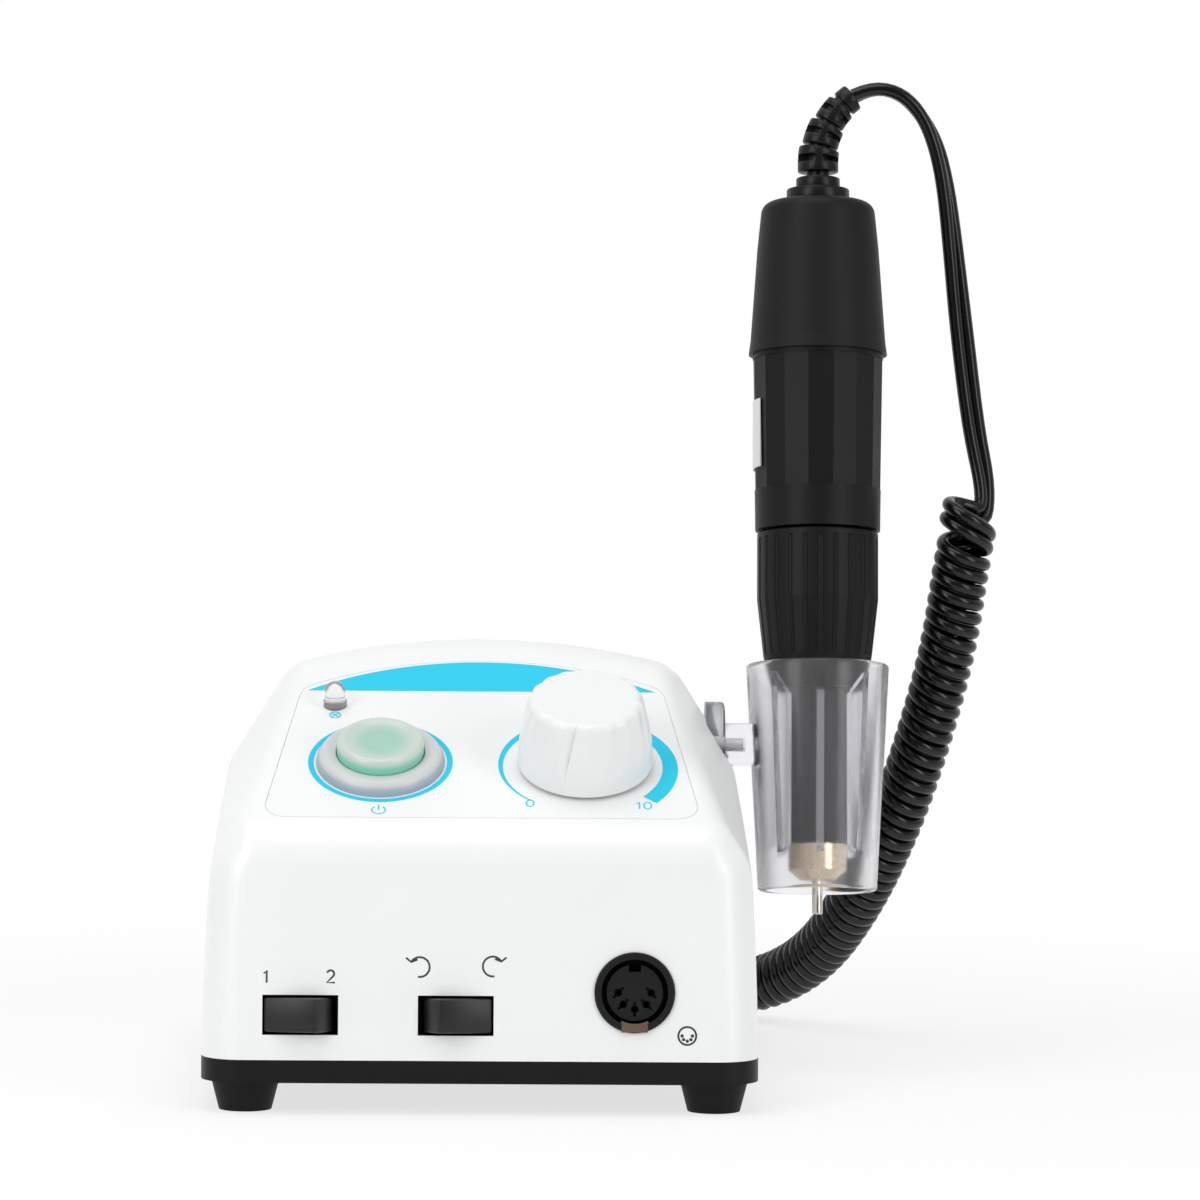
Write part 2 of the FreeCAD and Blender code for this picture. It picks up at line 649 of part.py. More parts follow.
def housing_cover():
    outer = rounded_block(0)
    shell = outer.cut(rounded_block(WALL))
    inner_parts = pillars() + [cradle_seat_pad()]
    trimmed = [part.common(outer) if part is inner_parts[-1] else part for part in inner_parts]
    below = outer.copy()
    below.translate(Vector(0, 0, -TRAY_HEIGHT))
    keep = outer.fuse(below)
    for part in trimmed:
        shell = shell.fuse(part.common(keep))
    cuts = [put(hole, PANEL) for hole in panel_holes(OVERLAY_GAP)]
    cuts.append(put(overlay_plate(OVERLAY_GAP, -OVERLAY_THICKNESS, WALL), PANEL))
    width, height = ROCKER_OPENING
    for x in ROCKER_XS:
        cuts.append(put(centred(width, height, -2 * WALL, WALL, x, ROCKER_V), FRONT))
    cuts.append(
        put(rod(SOCKET_BARREL_RADIUS + OVERLAY_GAP, -2 * WALL, WALL, SOCKET_X, SOCKET_V), FRONT)
    )
    inlet = [side + 2 * OVERLAY_GAP for side in INLET_BODY[:2]]
    cuts.append(put(centred(*inlet, -2 * WALL, WALL, INLET_X, INLET_V), REAR))
    fuse_hole = FUSE_BARREL_RADIUS + OVERLAY_GAP
    cuts.append(put(rod(fuse_hole, -2 * WALL, WALL, FUSE_X, FUSE_V), REAR))
    jack_hole = JACK_BARREL_RADIUS + OVERLAY_GAP
    cuts.append(put(rod(jack_hole, -2 * WALL, WALL, JACK_X, JACK_V), REAR))
    seat = Vector(SEAT_X, CRADLE_Y, CRADLE_Z)
    pocket = Part.makeCylinder(DISC_RADIUS + SEAT_CLEARANCE, FOOT_X, seat, Vector(1, 0, 0))
    pivot_hole = Part.makeCylinder(
        PIVOT_RADIUS + PIVOT_CLEARANCE, SEAT_X, seat, Vector(-1, 0, 0)
    )
    cuts += [pocket, pivot_hole.common(block(SEAT_X - 3 * SEAT_PAD, SEAT_X, 0, BOX_DEPTH, 0, RIDGE_Z))]
    for x, y in foot_places():
        cuts.append(rod(SCREW_RADIUS, FLOOR_Z - 1, FLOOR_Z + CASE_SCREW_LENGTH, x, y))
    for cut in cuts:
        shell = shell.cut(cut)
    return shell


# Tray and feet


def foot_places():
    return [(side * FOOT_X, y) for y in FOOT_YS for side in (-1, 1)]


def tray_outline(inset, z0, z1):
    """A plate with the plan shape of the cover's lower edge."""
    half = BOX_HALF_WIDTH - inset
    plate = block(-half, half, inset, BOX_DEPTH - inset, z0, z1)
    for radius, front in ((CORNER_RADIUS, True), (REAR_RADIUS, False)):
        plate = softened(
            plate,
            radius - inset if radius > inset else radius / 2,
            lambda m, front=front: abs(m.z - (z0 + z1) / 2) < 0.1
            and (m.y < BOX_DEPTH / 2) == front
            and abs(abs(m.x) - half) < 0.1
            and min(abs(m.y - inset), abs(m.y - BOX_DEPTH + inset)) < 0.1,
        )
    return plate


def base_tray():
    tray = tray_outline(0, FOOT_HEIGHT, COVER_BOTTOM)
    tray = tray.cut(tray_outline(WALL, FLOOR_Z, COVER_BOTTOM + 1))
    lip_inset = WALL + LIP_CLEARANCE
    lip = tray_outline(lip_inset, FLOOR_Z, COVER_BOTTOM + TRAY_LIP)
    lip = lip.cut(
        tray_outline(lip_inset + TRAY_LIP_THICKNESS, FLOOR_Z - 1, COVER_BOTTOM + TRAY_LIP + 1)
    )
    lip_foot = tray_outline(WALL - 0.1, FLOOR_Z, COVER_BOTTOM).cut(
        tray_outline(lip_inset + TRAY_LIP_THICKNESS, FLOOR_Z - 1, COVER_BOTTOM + 1)
    )
    tray = tray.fuse(lip).fuse(lip_foot)
    for x, y in standoff_places():
        tray = tray.fuse(rod(STANDOFF_RADIUS, FLOOR_Z - 1, BOARD_Z, x, y))
    for x, y in clamp_screw_places():
        tray = tray.fuse(rod(STANDOFF_RADIUS + 1, FLOOR_Z - 1, CORE_Z, x, y))
    cx, cy = CORE_CENTRE
    pad = centred(CORE_STACK, CORE_LENGTH, FLOOR_Z - 1, CORE_Z, cx, cy)
    tray = tray.fuse(pad)
    for x, y in standoff_places() + clamp_screw_places():
        tray = tray.cut(rod(SCREW_RADIUS, FLOOR_Z, BOARD_Z + 1, x, y))
    for x, y in foot_places():
        tray = tray.cut(rod(SCREW_RADIUS + 0.2, 0, FLOOR_Z + 1, x, y))
    for n in range(VENT_COUNT):
        y = BOARD_Y[0] + STANDOFF_INSET + VENT_PITCH * (n + 1)
        vent = centred(VENT_LENGTH, VENT_WIDTH, 0, FLOOR_Z + 1, sum(BOARD_X) / 2, y)
        tray = tray.cut(vent)
    return tray


def rubber_feet():
    foot = Part.makeCone(FOOT_BOTTOM_RADIUS, FOOT_TOP_RADIUS, FOOT_HEIGHT)
    foot = foot.cut(rod(FOOT_POCKET_RADIUS, -1, FOOT_POCKET_DEPTH))
    foot = foot.cut(rod(SCREW_RADIUS + 0.2, -1, FOOT_HEIGHT + 1))
    return group(put(foot, Placement(Vector(x, y, 0), Rotation())) for x, y in foot_places())


def screw(head_z, length, x, y):
    """A pan-head screw that points up when its length is positive, and down when negative."""
    up = 1 if length > 0 else -1
    shank = rod(SCREW_RADIUS, min(head_z, head_z + length), max(head_z, head_z + length), x, y)
    head = rod(SCREW_HEAD_RADIUS, 0, SCREW_HEAD_HEIGHT, x, y)
    head = softened(head, SCREW_HEAD_HEIGHT / 3, lambda m: m.z < 0.1)
    if up < 0:
        head = head.mirror(Vector(0, 0, SCREW_HEAD_HEIGHT / 2), Vector(0, 0, 1))
        head.translate(Vector(0, 0, head_z))
    else:
        head.translate(Vector(0, 0, head_z - SCREW_HEAD_HEIGHT))
    return shank.fuse(head)


def case_screws():
    reach = FLOOR_Z + CASE_SCREW_LENGTH - 1 - FOOT_POCKET_DEPTH
    return group(screw(FOOT_POCKET_DEPTH, reach, x, y) for x, y in foot_places())


# Control panel


def panel_overlay():
    plate = overlay_plate(0, -OVERLAY_THICKNESS, 0)
    for hole in panel_holes(2 * OVERLAY_GAP):
        plate = plate.cut(hole)
    return put(plate, PANEL)


def overload_lamp():
    dome_start = LAMP_HEIGHT - LAMP_RADIUS
    lens = rod(LAMP_RADIUS, -WALL - 1, dome_start)
    lens = lens.fuse(Part.makeSphere(LAMP_RADIUS, Vector(0, 0, dome_start)))
    lens = lens.fuse(rod(LAMP_FLANGE_RADIUS, 0, LAMP_FLANGE_HEIGHT))
    for x in (-1.27, 1.27):
        lens = lens.fuse(centred(0.6, 0.6, -WALL - 9, -WALL - 0.5, x))
    lens.translate(Vector(LAMP_X, LAMP_S, 0))
    return put(lens, PANEL)


def dome(radius, height, inner_radius, inner_height):
    """The ball on the Z axis whose surface has two given heights at two radii."""
    squares = (radius**2 - inner_radius**2 + height**2 - inner_height**2) / 2
    centre = squares / (height - inner_height)
    return Part.makeSphere(math.hypot(radius, height - centre), Vector(0, 0, centre))


def power_button_collar():
    """The domed ring round the button, whose barrel snaps into the panel."""
    hole = BUTTON_RADIUS + BUTTON_GAP
    collar = rod(COLLAR_RADIUS, 0, 2 * COLLAR_HEIGHT)
    collar = collar.common(dome(COLLAR_RADIUS, COLLAR_EDGE, hole, COLLAR_HEIGHT))
    collar = collar.fuse(rod(COLLAR_BARREL_RADIUS, -COLLAR_DEPTH, 0.1))
    collar = collar.cut(rod(hole, -COLLAR_DEPTH - 1, 2 * COLLAR_HEIGHT))
    shoulder = -BUTTON_SKIRT + BUTTON_FLANGE + BUTTON_GAP
    collar = collar.cut(rod(COLLAR_BARREL_RADIUS - 1.3, -COLLAR_DEPTH - 1, shoulder))
    collar.translate(Vector(BUTTON_X, BUTTON_S, 0))
    return put(collar, PANEL)


def power_switch_body():
    top = -COLLAR_DEPTH
    body = rod(COLLAR_BARREL_RADIUS, top - 1.5, top)
    body = body.fuse(centred(SWITCH_SIDE, SWITCH_SIDE, top - SWITCH_HEIGHT, top - 1))
    body = body.cut(rod(PLUNGER_RADIUS + BUTTON_GAP, top - SWITCH_HEIGHT / 2, top + 1))
    for x in (-5.0, 0.0, 5.0):
        body = body.fuse(
            centred(TERMINAL[0], TERMINAL[1], top - SWITCH_HEIGHT - TERMINAL[2], top - 3, x, 5.0)
        )
    body = body.cut(rod(PLUNGER_RADIUS + BUTTON_GAP, top - SWITCH_HEIGHT / 2, top + 1))
    body.translate(Vector(BUTTON_X, BUTTON_S, 0))
    return put(body, PANEL)


def power_button_cap():
    cap = rod(BUTTON_RADIUS, -BUTTON_SKIRT, BUTTON_HEIGHT)
    cap = softened(cap, BUTTON_EDGE, lambda m: m.z > BUTTON_HEIGHT - 0.1)
    cap = cap.cut(dome(BUTTON_DISH_RADIUS, BUTTON_HEIGHT, 0, BUTTON_HEIGHT - BUTTON_DISH))
    cap = cap.fuse(rod(BUTTON_RADIUS + 1.1, -BUTTON_SKIRT, -BUTTON_SKIRT + BUTTON_FLANGE))
    cap = cap.cut(rod(BUTTON_RADIUS - BUTTON_WALL, -BUTTON_SKIRT - 1, BUTTON_HEIGHT - BUTTON_WALL))
    cap.translate(Vector(BUTTON_X, BUTTON_S, 0))
    return put(cap, PANEL)


def power_button_core():
    core = rod(BUTTON_RADIUS - BUTTON_WALL - 0.1, -BUTTON_SKIRT, BUTTON_HEIGHT - BUTTON_WALL)
    stem_end = -COLLAR_DEPTH - SWITCH_HEIGHT / 2 + BUTTON_TRAVEL + 2 * BUTTON_GAP
    core = core.fuse(rod(PLUNGER_RADIUS, stem_end, 0))
    core.translate(Vector(BUTTON_X, BUTTON_S, 0))
    return put(core, PANEL)


def potentiometer_body():
    body = rod(POT_RADIUS, -WALL - POT_DEPTH, -WALL)
    body = body.fuse(centred(2 * POT_RADIUS * 0.9, 4.0, -WALL - 4, -WALL - 2, 0, -POT_RADIUS - 1))
    body = body.fuse(rod(BUSHING_RADIUS, -WALL - 1, BUSHING_HEIGHT))
    for x in (-5.0, 0.0, 5.0):
        body = body.fuse(centred(1.2, 6.0, -WALL - 3.4, -WALL - 2.6, x, -POT_RADIUS - 5))
    body = body.cut(rod(SHAFT_RADIUS + SHAFT_CLEARANCE, -WALL - POT_DEPTH + 1, BUSHING_HEIGHT + 1))
    body.translate(Vector(KNOB_X, KNOB_S, 0))
    return put(body, PANEL)


def hexagon(across_flats, z0, z1):
    radius = across_flats / math.sqrt(3)
    corners = [math.radians(60 * n) for n in range(6)]
    return prism([(radius * math.cos(a), radius * math.sin(a)) for a in corners], z0, z1)


def potentiometer_nut():
    nut = hexagon(NUT_ACROSS_FLATS, 0, NUT_HEIGHT).cut(rod(BUSHING_RADIUS, -1, NUT_HEIGHT + 1))
    nut.translate(Vector(KNOB_X, KNOB_S, 0))
    return put(nut, PANEL)


def potentiometer_shaft():
    shaft = rod(SHAFT_RADIUS, -WALL - POT_DEPTH + 1.3, KNOB_HEIGHT - KNOB_WALL - 0.5)
    shaft.translate(Vector(KNOB_X, KNOB_S, 0))
    return put(shaft, PANEL)


def speed_knob():
    """A tapered, hollow knob with scalloped grips round its upper edge and a pointer slot."""
    low, high = KNOB_LIFT, KNOB_HEIGHT
    knob = turned(
        [(0, low), (KNOB_RADIUS, low), (KNOB_RADIUS, low + 2.5), (KNOB_TOP_RADIUS, high), (0, high)]
    )
    knob = softened(knob, 1.8, lambda m: m.z > high - 0.1)
    lean = math.atan2(KNOB_RADIUS - KNOB_TOP_RADIUS, high - low - 2.5)
    for n in range(KNOB_GRIPS):
        grip = Part.makeCone(0.4, KNOB_GRIP_RADIUS, high, Vector(0, 0, 0))
        grip.rotate(Vector(0, 0, 0), Vector(0, 1, 0), -math.degrees(lean))
        reach = KNOB_TOP_RADIUS + KNOB_GRIP_RADIUS - KNOB_GRIP_DEPTH
        grip.translate(Vector(reach + high * math.tan(lean), 0, low + 1.0))
        turn = POINTER_ANGLE + 360 / KNOB_GRIPS * (n + 0.5)
        grip.rotate(Vector(0, 0, 0), Vector(0, 0, 1), turn)
        knob = knob.cut(grip)
    half = POINTER_WIDTH / 2
    slot = block(KNOB_TOP_RADIUS - 1.8, KNOB_RADIUS + 2, -half, half, POINTER_FOOT, 2 * KNOB_HEIGHT)
    slot.rotate(Vector(KNOB_RADIUS, 0, low), Vector(0, 1, 0), -math.degrees(lean) * 0.8)
    slot.rotate(Vector(0, 0, 0), Vector(0, 0, 1), POINTER_ANGLE)
    knob = knob.cut(slot)
    hollow = turned(
        [
            (KNOB_HUB_RADIUS, low - 1),
            (KNOB_RADIUS - KNOB_WALL, low - 1),
            (KNOB_RADIUS - KNOB_WALL, low + 2.5),
            (KNOB_TOP_RADIUS - KNOB_WALL - KNOB_GRIP_DEPTH, high - 2 * KNOB_WALL),
            (KNOB_HUB_RADIUS, high - 2 * KNOB_WALL),
        ]
    )
    knob = knob.cut(hollow)
    knob = knob.cut(rod(NUT_ACROSS_FLATS, low - 1, BUSHING_HEIGHT + 0.6))
    knob = knob.cut(rod(SHAFT_RADIUS, low - 1, high - KNOB_WALL))
    knob.translate(Vector(KNOB_X, KNOB_S, 0))
    return put(knob, PANEL)


# Front wall


def rocker_frame(n):
    """The frame of a rocker in its resting position, with its origin on its pivot."""
    pivot = Placement(Vector(ROCKER_XS[n], ROCKER_V, -ROCKER_PIVOT_DEPTH), Rotation())
    turn = Placement(Vector(), Rotation(Vector(0, 1, 0), ROCKER_TURNS[n]))
    return FRONT.multiply(pivot).multiply(turn)


def rocker(n):
    half = ROCKER_OPENING[1] / 2 - ROCKER_GAP
    outline = [
        (-ROCKER_TIP_HALF, ROCKER_TIP_HEIGHT),
        (ROCKER_TIP_HALF, ROCKER_TIP_HEIGHT),
        (ROCKER_END_HALF, ROCKER_END_HEIGHT),
        (ROCKER_END_HALF, -ROCKER_HEEL_DEPTH),
        (0, -ROCKER_KEEL_DEPTH),
        (-ROCKER_END_HALF, -ROCKER_HEEL_DEPTH),
        (-ROCKER_END_HALF, ROCKER_END_HEIGHT),
    ]
    points = [Vector(x, -half, z) for x, z in outline]
    body = Part.Face(Part.makePolygon(points + points[:1])).extrude(Vector(0, 2 * half, 0))
    body = softened(
        body, 0.5, lambda m: m.z > ROCKER_TIP_HEIGHT - 0.1 and abs(m.x) > ROCKER_TIP_HALF - 0.1
    )
    pin = Part.makeCylinder(
        ROCKER_PIN_RADIUS, 2 * half + 2.4, Vector(0, -half - 1.2, 0), Vector(0, 1, 0)
    )
    return put(body.fuse(pin), rocker_frame(n))


def rocker_body(n):
    width, height, depth = ROCKER_BODY
    body = centred(width, height, -WALL - depth, -WALL)
    body = body.cut(centred(*ROCKER_OPENING, -WALL - ROCKER_CAVITY_DEPTH, 0))
    hole = Part.makeCylinder(
        ROCKER_PIN_RADIUS + SHAFT_CLEARANCE,
        ROCKER_OPENING[1] + 2.4,
        Vector(0, -ROCKER_OPENING[1] / 2 - 1.2, -ROCKER_PIVOT_DEPTH),
        Vector(0, 1, 0),
    )
    body = body.cut(hole)
    for x in (-width / 3, 0.0, width / 3):
        body = body.fuse(
            centred(TERMINAL[1], TERMINAL[0], -WALL - depth - TERMINAL[2], -WALL - depth + 0.5, x)
        )
    body.translate(Vector(ROCKER_XS[n], ROCKER_V, 0))
    return put(body, FRONT)


def in_socket(shape):
    shape.translate(Vector(SOCKET_X, SOCKET_V, 0))
    return put(shape, FRONT)


def socket_pin_places(circle):
    """Five places on a half circle, with the key at the top between the ends."""
    angles = [math.radians(180 + 45 * n) for n in range(SOCKET_PINS)]
    return [(circle * math.cos(a), circle * math.sin(a)) for a in angles]


def motor_socket_shell():
    shell = rod(SOCKET_FLANGE_RADIUS, 0, SOCKET_FLANGE_HEIGHT)
    shell = softened(shell, 0.4, lambda m: m.z > SOCKET_FLANGE_HEIGHT - 0.1)
    shell = shell.fuse(rod(SOCKET_BARREL_RADIUS, -SOCKET_DEPTH, 0.1))
    shell = shell.cut(rod(SOCKET_BORE_RADIUS, SOCKET_FLOOR - SOCKET_DEPTH, 2))
    for x, y in socket_pin_places(SOCKET_PIN_CIRCLE):
        shell = shell.cut(rod(SOCKET_HOLE_RADIUS, -SOCKET_DEPTH - 1, 0, x, y))
    half = SHIELD_TAB_WIDTH / 2 + SHAFT_CLEARANCE
    notch = block(-half, half, -2 * SOCKET_BORE_RADIUS, -SOCKET_INSERT_RADIUS, SOCKET_FLANGE_HEIGHT / 2, 2)
    return in_socket(shell.cut(notch))


def motor_socket_insert():
    insert = rod(SOCKET_INSERT_RADIUS, SOCKET_FLOOR - SOCKET_DEPTH, -SOCKET_INSERT_RECESS)
    width, depth = SOCKET_KEY
    insert = insert.cut(
        centred(width, 2 * depth, -SOCKET_DEPTH, 1, 0, SOCKET_INSERT_RADIUS)
    )
    length, width, depth = SOCKET_SLOT
    for (x, y), turn in zip(socket_pin_places(SOCKET_PIN_CIRCLE), SOCKET_SLOT_TURNS):
        insert = insert.cut(rod(SOCKET_HOLE_RADIUS, -SOCKET_DEPTH - 1, 1, x, y))
        slot = centred(length, width, -SOCKET_INSERT_RECESS - depth, 1)
        slot.rotate(Vector(0, 0, 0), Vector(0, 0, 1), turn)
        slot.translate(Vector(x, y, 0))
        insert = insert.cut(slot)
    return in_socket(insert)


def motor_socket_contacts():
    """Five spring sleeves that stand in the insert's holes, with tails at the back."""
    made = []
    outer = SOCKET_HOLE_RADIUS - 0.02
    for x, y in socket_pin_places(SOCKET_PIN_CIRCLE):
        sleeve = ring(outer, outer - 0.3, -SOCKET_DEPTH, -SOCKET_INSERT_RECESS - CONTACT_SETBACK, x, y)
        tail = rod(outer, -SOCKET_DEPTH - 4, -SOCKET_DEPTH + 1, x, y)
        made.append(in_socket(sleeve.fuse(tail)))
    return group(made)


def motor_socket_shield():
    """The earth strip in the groove between insert and shell, with a tab in the shell's notch."""
    outer = SOCKET_BORE_RADIUS - 0.02
    inner = outer - SHIELD_THICKNESS
    foot = SOCKET_FLANGE_HEIGHT / 2
    top = foot + SHIELD_THICKNESS
    strip = sector(outer, inner, SHIELD_ARC, 270, SOCKET_FLOOR - SOCKET_DEPTH, top)
    half = SHIELD_TAB_WIDTH / 2
    return in_socket(strip.fuse(block(-half, half, -SHIELD_TAB_END, -inner - 0.1, foot, top)))


# Rear wall


def mains_inlet():
    width, height, thickness = INLET_FLANGE
    body = centred(width, height, 0, thickness)
    body = softened(body, 3.0, lambda m: abs(m.z - thickness / 2) < 0.1)
    body = body.fuse(centred(INLET_BODY[0], INLET_BODY[1], -INLET_BODY[2], 0.5))
    cavity_floor = thickness - INLET_CAVITY[2]
    half_w, half_h = INLET_CAVITY[0] / 2, INLET_CAVITY[1] / 2
    bevel = half_h / 2
    mouth = prism(
        [
            (-half_w, -half_h),
            (half_w, -half_h),
            (half_w, half_h - bevel),
            (half_w - bevel, half_h),
            (bevel - half_w, half_h),
            (-half_w, half_h - bevel),
        ],
        cavity_floor,
        thickness + 1,
    )
    body = body.cut(mouth)
    for blade in inlet_blades():
        body = body.cut(blade)
    body.translate(Vector(INLET_X, INLET_V, 0))
    return put(body, REAR)


def inlet_blades():
    """The three blades, from their tips in the mouth to their tails behind the body."""
    tip = INLET_FLANGE[2] - INLET_CAVITY[2] + INLET_BLADE_REACH
    tail = -INLET_BODY[2] - INLET_TAIL
    places = [(-INLET_BLADE_SPACING, 0.0), (0.0, INLET_EARTH_OFFSET), (INLET_BLADE_SPACING, 0.0)]
    width, height = INLET_BLADE
    return [centred(width, height, tail, tip, x, y - INLET_BLADE_DROP) for x, y in places]


def inlet_pins():
    made = []
    for blade in inlet_blades():
        blade.translate(Vector(INLET_X, INLET_V, 0))
        made.append(put(blade, REAR))
    return group(made)


def in_fuse_hole(shape):
    shape.translate(Vector(FUSE_X, FUSE_V, 0))
    return put(shape, REAR)


def fuse_holder():
    body = rod(FUSE_FLANGE_RADIUS, 0, FUSE_FLANGE_HEIGHT)
    body = body.fuse(rod(FUSE_BARREL_RADIUS, -FUSE_DEPTH, 0.5))
    body = body.cut(rod(FUSE_CAP_SKIRT_RADIUS + 0.1, -FUSE_CAP_SKIRT_DEPTH - 0.3, 5))
    body = body.cut(rod(FUSE_LINK_RADIUS + 0.3, -FUSE_LINK_LENGTH - 4, 0))
    for side in (-1, 1):
        tab = centred(TERMINAL[1], TERMINAL[0], -FUSE_DEPTH - TERMINAL[2], -FUSE_DEPTH + 1, 0, 3 * side)
        body = body.fuse(tab)
    return in_fuse_hole(body)


def fuse_cap():
    cap = rod(FUSE_CAP_RADIUS, FUSE_FLANGE_HEIGHT + 0.1, FUSE_FLANGE_HEIGHT + FUSE_CAP_HEIGHT)
    cap = softened(cap, 0.8, lambda m: m.z > FUSE_FLANGE_HEIGHT + FUSE_CAP_HEIGHT - 0.1)
    cap = cap.fuse(rod(FUSE_CAP_SKIRT_RADIUS, -FUSE_CAP_SKIRT_DEPTH, FUSE_FLANGE_HEIGHT + 1))
    slot_floor = FUSE_FLANGE_HEIGHT + FUSE_CAP_HEIGHT - 1.5
    cap = cap.cut(centred(FUSE_CAP_RADIUS * 1.5, 1.4, slot_floor, slot_floor + 5))
    cap = cap.cut(rod(FUSE_LINK_RADIUS, -FUSE_CAP_SKIRT_DEPTH - 1, -1))
    return in_fuse_hole(cap)


def fuse_link():
    return in_fuse_hole(rod(FUSE_LINK_RADIUS, -1 - FUSE_LINK_LENGTH, -1))


def in_jack_hole(shape):
    shape.translate(Vector(JACK_X, JACK_V, 0))
    return put(shape, REAR)


def pedal_jack():
    width, height, depth = JACK_BODY
    body = centred(width, height, -WALL - depth, -WALL)
    body = body.fuse(rod(JACK_BARREL_RADIUS, -WALL - 1, JACK_BARREL_HEIGHT))
    body = body.cut(rod(JACK_BORE_RADIUS, JACK_BARREL_HEIGHT - JACK_BORE_DEPTH, 5))
    for x in (-3.0, 3.0):
        body = body.fuse(
            centred(TERMINAL[1], TERMINAL[0], -WALL - depth - TERMINAL[2], -WALL - depth + 0.5, x)
        )
    return in_jack_hole(body)


def jack_nut():
    nut = rod(JACK_NUT_RADIUS, 0, JACK_NUT_HEIGHT).cut(rod(JACK_BARREL_RADIUS, -1, 5))
    return in_jack_hole(softened(nut, 0.4, lambda m: m.z > JACK_NUT_HEIGHT - 0.1 and m.x > 0))


# Inside the box


def standoff_places():
    x0, x1 = BOARD_X
    y0, y1 = BOARD_Y
    inset = STANDOFF_INSET
    return [(x, y) for x in (x0 + inset, x1 - inset) for y in (y0 + inset, y1 - inset)]


def clamp_screw_places():
    cx, cy = CORE_CENTRE
    reach = CORE_LENGTH / 2 + CLAMP_THICKNESS + CLAMP_FOOT / 2
    return [(cx, cy - reach), (cx, cy + reach)]


def control_board():
    board = block(*BOARD_X, *BOARD_Y, BOARD_Z, BOARD_TOP)
    for x, y in standoff_places():
        board = board.cut(rod(SCREW_RADIUS + 0.1, BOARD_Z - 1, BOARD_TOP + 1, x, y))
    return board


def chassis_screws():
    """Four screws for the board and two for the transformer's clamp, all alike."""
    length = -(BOARD_THICKNESS + STANDOFF_HEIGHT - 1)
    made = [screw(BOARD_TOP, length, x, y) for x, y in standoff_places()]
    length = -(CLAMP_THICKNESS + PEDESTAL_HEIGHT - 0.5)
    made += [screw(CORE_Z + CLAMP_THICKNESS, length, x, y) for x, y in clamp_screw_places()]
    return group(made)


def filter_capacitors():
    made = []
    for x, y, radius, height in CAPACITORS:
        can = rod(radius, BOARD_TOP, BOARD_TOP + height, x, y)
        made.append(softened(can, 0.8, lambda m, top=BOARD_TOP + height: m.z > top - 0.1))
    return group(made)


def heat_sink():
    y0, y1 = SINK_Y
    top = BOARD_TOP + SINK_HEIGHT
    sink = block(SINK_X, SINK_X + SINK_BASE, y0, y1, BOARD_TOP, top)
    step = (y1 - y0 - SINK_FIN_THICKNESS) / (SINK_FINS - 1)
    for n in range(SINK_FINS):
        y = y0 + step * n
        root = SINK_X + SINK_BASE
        fin = block(root - 0.5, root + SINK_FIN_LENGTH, y, y + SINK_FIN_THICKNESS, BOARD_TOP, top)
        sink = sink.fuse(fin)
    return sink


def power_transistor():
    thickness, width, height = TRANSISTOR
    y = sum(SINK_Y) / 2
    bottom = BOARD_TOP + TRANSISTOR_LEG
    body = block(SINK_X - thickness, SINK_X, y - width / 2, y + width / 2, bottom, bottom + height)
    for n in (-1, 0, 1):
        leg_y = y + 2.54 * n
        leg = block(
            SINK_X - thickness / 2 - 0.3,
            SINK_X - thickness / 2 + 0.3,
            leg_y - 0.4,
            leg_y + 0.4,
            BOARD_TOP,
            bottom + 1,
        )
        body = body.fuse(leg)
    return body


def core_windows(gap):
    """The two windows of the laminated core, each beside its middle leg."""
    cx, cy = CORE_CENTRE
    width = CORE_YOKE - 2 * gap
    made = []
    for side in (-1, 1):
        y = cy + side * (CORE_YOKE + CORE_YOKE / 2)
        made.append(
            block(
                cx - CORE_STACK,
                cx + CORE_STACK,
                y - width / 2,
                y + width / 2,
                CORE_Z + CORE_YOKE + gap,
                CORE_Z + CORE_HEIGHT - CORE_YOKE - gap,
            )
        )
    return made


def transformer_core():
    cx, cy = CORE_CENTRE
    core = centred(CORE_STACK, CORE_LENGTH, CORE_Z, CORE_Z + CORE_HEIGHT, cx, cy)
    for window in core_windows(0):
        core = core.cut(window)
    return core


def transformer_winding():
    cx, cy = CORE_CENTRE
    z0 = CORE_Z + CORE_YOKE + WINDING_GAP
    z1 = CORE_Z + CORE_HEIGHT - CORE_YOKE - WINDING_GAP
    half_leg_x = CORE_STACK / 2 + WINDING_GAP
    half_leg_y = CORE_YOKE + WINDING_GAP
    coil = centred(2 * (half_leg_x + WINDING_BUILD), 2 * (half_leg_y + WINDING_BUILD), z0, z1, cx, cy)
    coil = softened(coil, WINDING_BUILD / 2, lambda m: abs(m.z - (z0 + z1) / 2) < 0.1)
    return coil.cut(centred(2 * half_leg_x, 2 * half_leg_y, z0 - 1, z1 + 1, cx, cy))


def transformer_clamp():
    """A steel strap over the core, with a foot at each end on a pedestal of the tray."""
    cx, cy = CORE_CENTRE
    half = CORE_LENGTH / 2
    top = CORE_Z + CORE_HEIGHT
    strap = CORE_STACK * 0.6
    t = CLAMP_THICKNESS
    clamp = centred(strap, CORE_LENGTH + 2 * t, CORE_Z, top + t, cx, cy)
    clamp = clamp.cut(centred(strap + 2, CORE_LENGTH, CORE_Z - 1, top, cx, cy))
    for side in (-1, 1):
        y = cy + side * (half + (CLAMP_FOOT + t) / 2)
        clamp = clamp.fuse(centred(strap, CLAMP_FOOT + t, CORE_Z, CORE_Z + t, cx, y))
    for x, y in clamp_screw_places():
        clamp = clamp.cut(rod(SCREW_RADIUS + 0.1, CORE_Z - 1, CORE_Z + t + 1, x, y))
    return clamp


# Cradle


